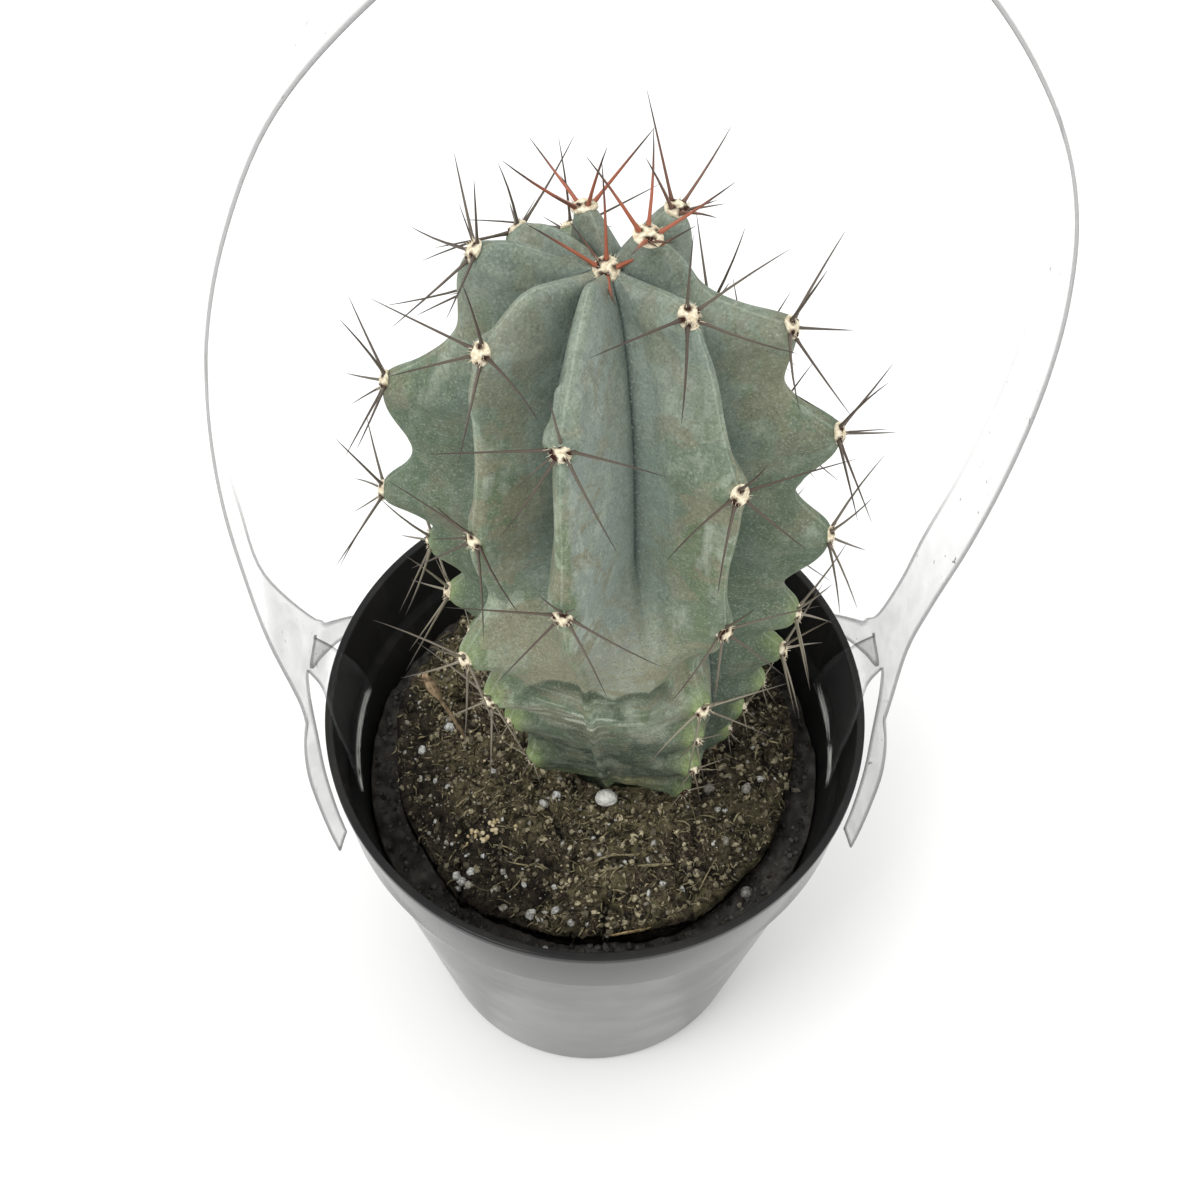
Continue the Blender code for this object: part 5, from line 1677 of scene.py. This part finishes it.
    def build_wool(self) -> None:
        """Makes the areoles: domed pads of felt, with short hairs round them.

        Formula: a pad is rings of shrinking radius, cos(a) wide and half of sin(a) high,
        dented by noise; a hair is a short bent tube that leans out from the pad's edge.
        """
        areoles = self.areoles()
        root, along, _, _, _, number, _ = self.spine_plan()
        place, out, up, side = (np.array([getattr(item, name) for item in areoles])
                                for name in ("place", "out", "up", "side"))
        height = np.array([item.height for item in areoles])
        youth = np.array([item.youth for item in areoles])
        size = np.where(height < self.old_below, self.aged_pad, self.grown_pad) + 0.3 * youth
        turn, angle = turns(20), np.linspace(-0.5, 1.48, 11)
        circle = side[:, None] * np.cos(turn)[:, None] + up[:, None] * np.sin(turn)[:, None] * 1.1
        parts = []
        for index in range(len(areoles)):
            grid = place[index] + circle[index][None] * (np.cos(angle) * size[index])[:, None, None] \
                + out[index] * (np.sin(angle) * size[index] * 0.5)[:, None, None]
            grid = grid + out[index] * 0.2 * self.relief.layered(grid, 0.9, 2)[..., None]
            mine = number == index
            feet = root[mine] + along[mine] * 0.35 + out[index] * 0.2
            gap = np.linalg.norm(grid[:, :, None] - feet[None, None], axis=-1).min(-1)
            parts.append(capped(grid, {"pit": smooth_step(-gap, -0.72, -0.5)}))
        draws = np.random.default_rng(Seed.HAIRS)
        each = self.hairs
        owner = np.repeat(np.arange(len(areoles)), each)
        bearing = draws.uniform(0, 2 * math.pi, len(owner))[:, None]
        around = side[owner] * np.cos(bearing) + up[owner] * np.sin(bearing)
        spread = (size[owner] * draws.uniform(0.3, 0.95, len(owner)))[:, None]
        foot = place[owner] + around * spread + out[owner] * 0.1
        t = np.linspace(0.0, 1.0, 4)[None, :, None]
        reach = draws.uniform(0.4, 0.9, (len(owner), 1, 1)) * size[owner][:, None, None] / 1.5
        paths = foot[:, None] + out[owner][:, None] * t * reach + around[:, None] * t ** 2 * reach * 0.7
        radii = np.broadcast_to(np.array([0.07, 0.06, 0.05, 0.02]), (len(owner), 4))
        parts.append(tubes(paths, radii, 3, {"pit": np.zeros((len(owner), 4))}))
        Surface.joined(parts).dressed("areole_wool", WoolFinish().material(), "cactus", "stem_skin")

    def build(self) -> None:
        """Makes the skin, the areoles and the spines."""
        self.skin().dressed("stem_skin", SkinFinish().material(), "cactus", "stem_skin")
        self.build_wool()
        self.build_spines()


# Strap

class Side(Enum):
    """The two ends of the strap, by the sign of x."""

    LEFT = -1
    RIGHT = 1


# Height, distance from the pot's axis and places across a row of a clip
ClipRow = tuple[float, float, tuple[float, ...]]


@dataclass
class Strap:
    """Clear strap: a loop over the plant with a three-legged clip at each end."""

    half_width: float = 7.0
    thickness: float = 0.45
    twist: float = -0.2
    offsets: dict[Side, float] = field(default_factory=lambda: {Side.LEFT: 0.0, Side.RIGHT: 3.5})
    loop: tuple[tuple[float, float], ...] = (
        (-54.0, 117.0), (-56.4, 132.0), (-57.3, 152.0), (-57.3, 172.0), (-55.6, 192.0), (-52.2, 210.0),
        (-46.6, 227.0), (-38.7, 243.5), (-29.0, 256.0), (-16.5, 267.5), (-1.0, 276.0), (16.0, 277.5),
        (30.0, 270.5), (40.2, 260.5), (49.8, 246.0), (55.2, 232.5), (58.2, 217.0), (59.3, 200.0),
        (58.7, 180.0), (56.9, 161.0), (54.4, 144.0), (52.9, 130.0), (52.6, 119.0))
    places: tuple[float, ...] = (-1.0, -0.62, -0.55, -0.3, -0.05, 0.08, 1.0)
    cells: tuple[int, ...] = (5, 2, 5, 5, 2, 6)
    web: tuple[ClipRow, ...] = (
        (114.5, 52.6, (-9.2, -6.6, -6.1, -3.4, -0.5, 0.5, 9.2)),
        (111.0, 52.2, (-11.0, -7.6, -7.1, -3.6, -0.1, 0.9, 11.0)))
    tongue: tuple[ClipRow, ...] = (
        (107.5, 50.0, (-7.6, -3.2, 1.2)), (104.2, 48.8, (-8.2, -2.2, 3.8)),
        (101.0, 47.75, (-9.0, -1.0, 7.0)), (96.0, 46.4, (-9.6, -0.2, 9.6)),
        (91.0, 45.8, (-10.2, 0.4, 11.2)), (86.5, 45.3, (-10.6, 1.0, 12.6)))
    leg: tuple[ClipRow, ...] = (
        (106.5, 52.7, (3.2, 13.2)), (102.0, 52.5, (8.2, 16.8)), (97.5, 52.2, (14.0, 20.6)),
        (93.0, 51.8, (19.8, 24.4)), (90.3, 51.5, (23.4, 26.4)))
    leg_flare: float = 1.4
    clear_haze: float = 0.02
    # grey veils of the webs and the right arm: partly haze of the film, partly painted reflection
    left_web_haze_and_reflection: float = 0.16
    right_arm_haze_and_reflection: float = 0.08
    right_web_haze_and_reflection: float = 0.07
    left_web_step: tuple[float, float] = (132.0, 134.0)
    right_arm_step: tuple[float, float] = (198.0, 200.0)
    right_web_step: tuple[float, float] = (124.0, 150.0)
    clip_top: float = 112.0
    rear_fades_from: tuple[float, float] = (140.0, 165.0)
    # strength of the painted shade at the cut edges, which stands in for the light that they bend
    rim_strength: float = 0.62
    rear_fade: float = 0.72
    inside_fade: float = 0.55

    def divided(self, places: tuple[float, ...], cells: tuple[int, ...]) -> Array:
        """Places across a row, each cell between neighbours divided evenly."""
        parts = [np.linspace(a, b, n, endpoint=False) for a, b, n in zip(places[:-1], places[1:], cells)]
        return np.concatenate(parts + [np.array(places[-1:])])

    def clip_row(self, side: Side, height: float, reach: float, places: Array,
                 flare: float = 0.0) -> Array:
        """A row of a clip: an arc about the pot's axis, with places along it in millimetres.

        Formula: a flare moves the row's front end out and its back end in, evenly between.
        """
        angle = (places - self.offsets[side]) / reach
        reach = reach + flare * np.linspace(-0.75, 1.0, len(places))
        return np.stack([side.value * reach * np.cos(angle), -reach * np.sin(angle),
                         np.full_like(angle, height)], -1)

    def smoothed(self, rows: Array, steps: int) -> Array:
        """Rows with finer rows between them, on smooth curves from the first to the last."""
        samples = np.linspace(0.0, len(rows) - 1, (len(rows) - 1) * steps + 1)
        return np.moveaxis(through(np.moveaxis(rows, 0, 1), samples), 0, 1)

    def patch(self, rows: Array, steps: int, flip: bool, gleam: Array | None = None) -> Surface:
        """A sheet through rows, with its faces turned the other way round where asked."""
        grid = self.smoothed(rows, steps)
        faces = ring_quads(grid.shape[0], grid.shape[1], closed=False)
        bright = np.zeros(grid.shape[:2]) if gleam is None else gleam
        faces = faces[:, ::-1] if flip else faces
        return Surface(grid.reshape(-1, 3), [faces], {"gleam": bright.reshape(-1)})

    def sheet(self) -> Surface:
        """The film as one sheet: the loop and its webs, then the tongue and legs of each clip."""
        across = self.divided(self.places, self.cells)
        path = np.array(self.loop)[1:-1]
        share = (np.arange(len(path)) + 1) / (len(path) + 1)
        middle = self.offsets[Side.LEFT] + (self.offsets[Side.RIGHT] - self.offsets[Side.LEFT]) * share
        twist = self.twist * smooth_step(0.42 - share, 0.0, 0.25)
        width = across * self.half_width
        band = np.stack([path[:, :1] - width * twist[:, None], middle[:, None] - width,
                         np.broadcast_to(path[:, 1:], (len(path), len(width)))], -1)
        webs = {side: np.stack([self.clip_row(side, height, reach, self.divided(places, self.cells))
                                for height, reach, places in self.web]) for side in Side}
        band = np.concatenate([webs[Side.LEFT][::-1], band, webs[Side.RIGHT]])
        parts = [self.patch(band, 6, False)]
        first, last = self.cells[0], len(across) - 1 - self.cells[5]
        start = sum(self.cells[:2])
        end = start + self.cells[2] + self.cells[3]
        for side in Side:
            lowest = webs[side][-1]
            flip = side is Side.LEFT
            rows = [lowest[start:end + 1]]
            rows += [self.clip_row(side, height, reach, self.divided(places, self.cells[2:4]))
                     for height, reach, places in self.tongue]
            steps = 5
            down = np.linspace(0.0, 1.0, (len(rows) - 1) * steps + 1)[:, None]
            over = np.linspace(0.0, 1.0, end - start + 1)[None]
            # painted highlights: a white strip along the tongue's lower free edge and a faint one near its
            # fold
            strip = 1.6 * bell(down - 1.0, 0.06) * smooth_step(0.5 - np.abs(over - 0.5), 0.02, 0.08)
            strip = strip + 0.22 * bell(down - 0.2, 0.03) * smooth_step(over, 0.3, 0.6)
            parts.append(self.patch(np.stack(rows), steps, flip, strip))
            for sign, top in ((1, lowest[last:]), (-1, lowest[:first + 1])):
                rows = [top]
                for height, reach, places in self.leg:
                    ends = places if sign > 0 else (-places[1], -places[0])
                    row = self.divided(ends, (self.cells[5] if sign > 0 else first,))
                    flare = self.leg_flare * min(1.0, (111.0 - height) / 9.0) if sign > 0 else 0.0
                    rows.append(self.clip_row(side, height, reach, row, flare))
                parts.append(self.patch(np.stack(rows), 5, flip))
        return Surface.joined(parts).welded()

    def free_edge(self, sheet: Surface) -> Array:
        """Distance of each point from the nearest free edge, in millimetres."""
        quads = np.concatenate(sheet.faces)
        pairs = np.sort(np.stack([quads, np.roll(quads, -1, axis=1)], -1).reshape(-1, 2), axis=1)
        pairs, uses = np.unique(pairs, axis=0, return_counts=True)
        rim = sheet.points[np.unique(pairs[uses == 1])]
        return np.linalg.norm(sheet.points[:, None] - rim[None], axis=-1).min(1)

    def build(self) -> None:
        """Makes the strap with its thickness.

        Formula: the haze is constant over an arm and grows in steps towards the clip, the steps
        being partly haze of the film and partly painted reflection; the rim is painted shade at
        free edges, and fainter on the rear edge of the loop; the gleam is painted highlight,
        broken up by noise.
        """
        sheet = self.sheet()
        gap = self.free_edge(sheet)
        x, y, z = sheet.points.T
        # haze: faint haze everywhere, with steps towards the clips that are partly painted reflection
        left = self.clear_haze + self.left_web_haze_and_reflection * (1.0 - smooth_step(z, *self.left_web_step))
        right = (self.clear_haze + self.right_arm_haze_and_reflection * (1.0 - smooth_step(z, *self.right_arm_step))
                 + self.right_web_haze_and_reflection * (1.0 - smooth_step(z, *self.right_web_step)))
        inside = smooth_step(-np.hypot(x, y), -50.5, -49.0) * (z < self.clip_top)
        sheet.values["haze"] = np.where(x < 0.0, left, right) * (1.0 - self.inside_fade * inside)
        middle = np.interp(x, (-50.0, 50.0), (self.offsets[Side.LEFT], self.offsets[Side.RIGHT]))
        rear = smooth_step(y - middle, 0.0, 2.0) * smooth_step(z, *self.rear_fades_from)
        # rim: painted shade along the free edges, standing in for the light that the cut edges bend
        rim = self.rim_strength * (1.0 - smooth_step(gap, 0.05, 0.4))
        sheet.values["rim"] = rim * (1.0 - 0.5 * inside) * (1.0 - self.rear_fade * rear)
        # break the painted highlight along the tongue into pieces
        broken = Relief(Seed.BROKEN_HIGHLIGHT).layered(sheet.points * [1.0, 1.0, 0.6], 1.4, 3, 0.7)
        sheet.values["gleam"] *= smooth_step(broken, -0.6, -0.2)
        strap = sheet.piece("strap_film", FilmFinish().material())
        solid = strap.modifiers.new("thickness", "SOLIDIFY")
        solid.thickness, solid.offset, solid.use_even_offset = self.thickness * MM, 0.0, True
        dress(strap, "clear_strap")


# Small things on the soil

@dataclass
class SmallThings:
    """The white lump at the stem's foot and the dry stalk at the left."""

    soil: Soil
    lump_place: tuple[float, float] = (2.5, -13.1)
    lump_size: Triple = (4.5, 3.7, 3.6)
    stalk_foot: tuple[float, float] = (-24.8, -0.3)
    stalk_radius: float = 0.45
    bristles: int = 9
    stalk_path: tuple[Triple, ...] = (
        (0.0, 0.0, -4.0), (0.0, 0.0, 0.0), (-2.0, 0.6, 7.0), (-4.5, 1.6, 14.0), (-6.8, 2.8, 20.0))

    def build_lump(self) -> None:
        """Makes the lump: an icosphere pressed in by layered noise, with fine pores."""
        points, faces = round_shape(5)
        relief = Relief(Seed.LUMP_RELIEF)
        pores = np.abs(relief.layered(points, 0.22, 2))
        swell = 0.93 + 0.07 * relief.layered(points, 0.9, 2) - 0.05 * pores
        points = points * swell[:, None] * np.array(self.lump_size) * 0.5
        points = points + [*self.lump_place, 0.0]
        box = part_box("white_lump")
        points[:, 2] += box[0][2] / MM - points[:, 2].min()
        made = Surface(points, [faces], {"tone": np.full(len(points), 0.85)})
        finish = CrumbFinish("chalky_lump", paint(190, 190, 180), paint(240, 240, 232), 0.15).material()
        made.dressed("chalky_lump", finish, "white_lump", "perlite")

    def build_stalk(self) -> None:
        """Makes the stalk and its seed head.

        Formula: rings along a smooth path, swelling at the top into a narrow urn whose
        radius ripples round it like closed scales.
        """
        path = through(np.array(self.stalk_path)[None], np.linspace(0.0, 4.0, 70))[0]
        along = np.linspace(0.0, 1.0, len(path))
        head = smooth_step(along, 0.7, 0.86) * (1.0 - 0.75 * smooth_step(along, 0.88, 1.0))
        turn = turns(18)
        ripple = 1.0 + 0.14 * head[:, None] * np.cos(6 * turn[None] + 20.0 * along[:, None])
        radius = self.stalk_radius * (0.85 + 1.5 * head)[:, None] * ripple
        grid = path[:, None] + level_circle(18) * radius[..., None] + [*self.stalk_foot, SOIL_TOP]
        draws = np.random.default_rng(Seed.BRISTLES)
        count = self.bristles
        foot = grid[-6].mean(0) + np.zeros((count, 1, 3))
        lean = unit(draws.normal(size=(count, 3)) * [0.35, 0.35, 0.1] + [-0.25, 0.1, 1.0])
        t = np.linspace(0.0, 1.0, 5)[None, :, None]
        bristles = tubes(foot + lean[:, None] * t * draws.uniform(1.6, 2.6, (count, 1, 1)),
                         np.broadcast_to([0.14, 0.12, 0.1, 0.07, 0.03], (count, 5)), 4, {})
        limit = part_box("dry_stalk")[1][2] / MM
        bristles.points[:, 2] = np.minimum(bristles.points[:, 2], limit)
        stalk = Surface.joined([capped(grid), bristles])
        stalk.dressed("stalk_and_head", DryFinish().material(), "dry_stalk", "dry_stem")

    def build(self) -> None:
        """Makes both."""
        self.build_lump()
        self.build_stalk()


# Studio

@dataclass(frozen=True)
class Lamp:
    """A square soft lamp: its place in metres, the length of a side and its power in watts."""

    name: str
    place: Triple
    side: float
    watts: float

    def build(self, target: Vector) -> None:
        """Makes the lamp and turns it towards a target."""
        light = bpy.data.lights.new(self.name, "AREA")
        light.size, light.energy = self.side, self.watts
        made = bpy.data.objects.new(self.name, light)
        made.location = self.place
        made.rotation_euler = (target - Vector(self.place)).to_track_quat("-Z", "Y").to_euler()
        bpy.context.scene.collection.objects.link(made)


@dataclass
class Studio:
    """White table, soft light and the camera."""

    camera_place: Triple = (0.0001, -0.1481, 0.3711)
    pitch: float = 57.63
    yaw: float = 0.10
    roll: float = 1.52
    lens: float = 49.5
    sensor: float = 36.0
    clip_start: float = 0.01
    world_light: float = 1.12
    table_half: float = 2500.0
    target: Triple = (0.0, 0.0, 0.12)
    lamps: tuple[Lamp, ...] = (Lamp("key_lamp", (-0.36, -0.36, 1.3), 0.35, 6.0),
                               Lamp("fill_lamp", (0.8, 0.5, 1.1), 1.2, 1.0))

    def build_floor(self) -> None:
        """Makes the table top."""
        corners = np.array([(-1, -1, 0), (1, -1, 0), (1, 1, 0), (-1, 1, 0)]) * self.table_half
        floor = Surface(corners, [np.array([[0, 1, 2, 3]])]).piece("table_top", FloorFinish().material())

    def build_world(self) -> None:
        """Makes the white surroundings."""
        world = bpy.data.worlds.new("white_room")
        world.use_nodes = True
        background = world.node_tree.nodes["Background"]
        background.inputs["Color"].default_value = (1.0, 1.0, 1.0, 1.0)
        background.inputs["Strength"].default_value = self.world_light
        bpy.context.scene.world = world

    def build_camera(self) -> None:
        """Makes the camera.

        Formula: the view direction from pitch and yaw, the level right and up vectors from
        it, and both turned by the roll about the view direction.
        """
        pitch, yaw, roll = (math.radians(angle) for angle in (self.pitch, self.yaw, self.roll))
        level = Vector((math.sin(yaw), math.cos(yaw), 0.0))
        ahead = level * math.cos(pitch) - Vector((0.0, 0.0, math.sin(pitch)))
        right = ahead.cross(Vector((0.0, 0.0, 1.0))).normalized()
        up = right.cross(ahead)
        x = math.cos(roll) * right + math.sin(roll) * up
        y = math.cos(roll) * up - math.sin(roll) * right
        turn = Matrix((x, y, -ahead)).transposed()
        camera = bpy.data.cameras.new("camera")
        camera.lens, camera.sensor_width = self.lens, self.sensor
        camera.clip_start = self.clip_start
        made = bpy.data.objects.new("camera", camera)
        made.matrix_world = Matrix.Translation(Vector(self.camera_place)) @ turn.to_4x4()
        bpy.context.scene.collection.objects.link(made)
        bpy.context.scene.camera = made

    def build(self) -> None:
        """Makes the floor, the lamps, the world and the camera."""
        self.build_floor()
        for lamp in self.lamps:
            lamp.build(Vector(self.target))
        self.build_world()
        self.build_camera()
        bpy.context.scene.view_settings.view_transform = "Standard"
        bpy.context.scene.view_settings.look = "None"


def main() -> None:
    """Builds every sub-assembly in order."""
    logging.basicConfig(level=logging.INFO, format="%(message)s")
    pot = NurseryPot()
    soil = Soil(pot)
    for part in (Studio(), pot, soil, Stem(), Strap(), SmallThings(soil)):
        part.build()
        log.info("built %s", type(part).__name__)


if __name__ == "__main__":
    main()
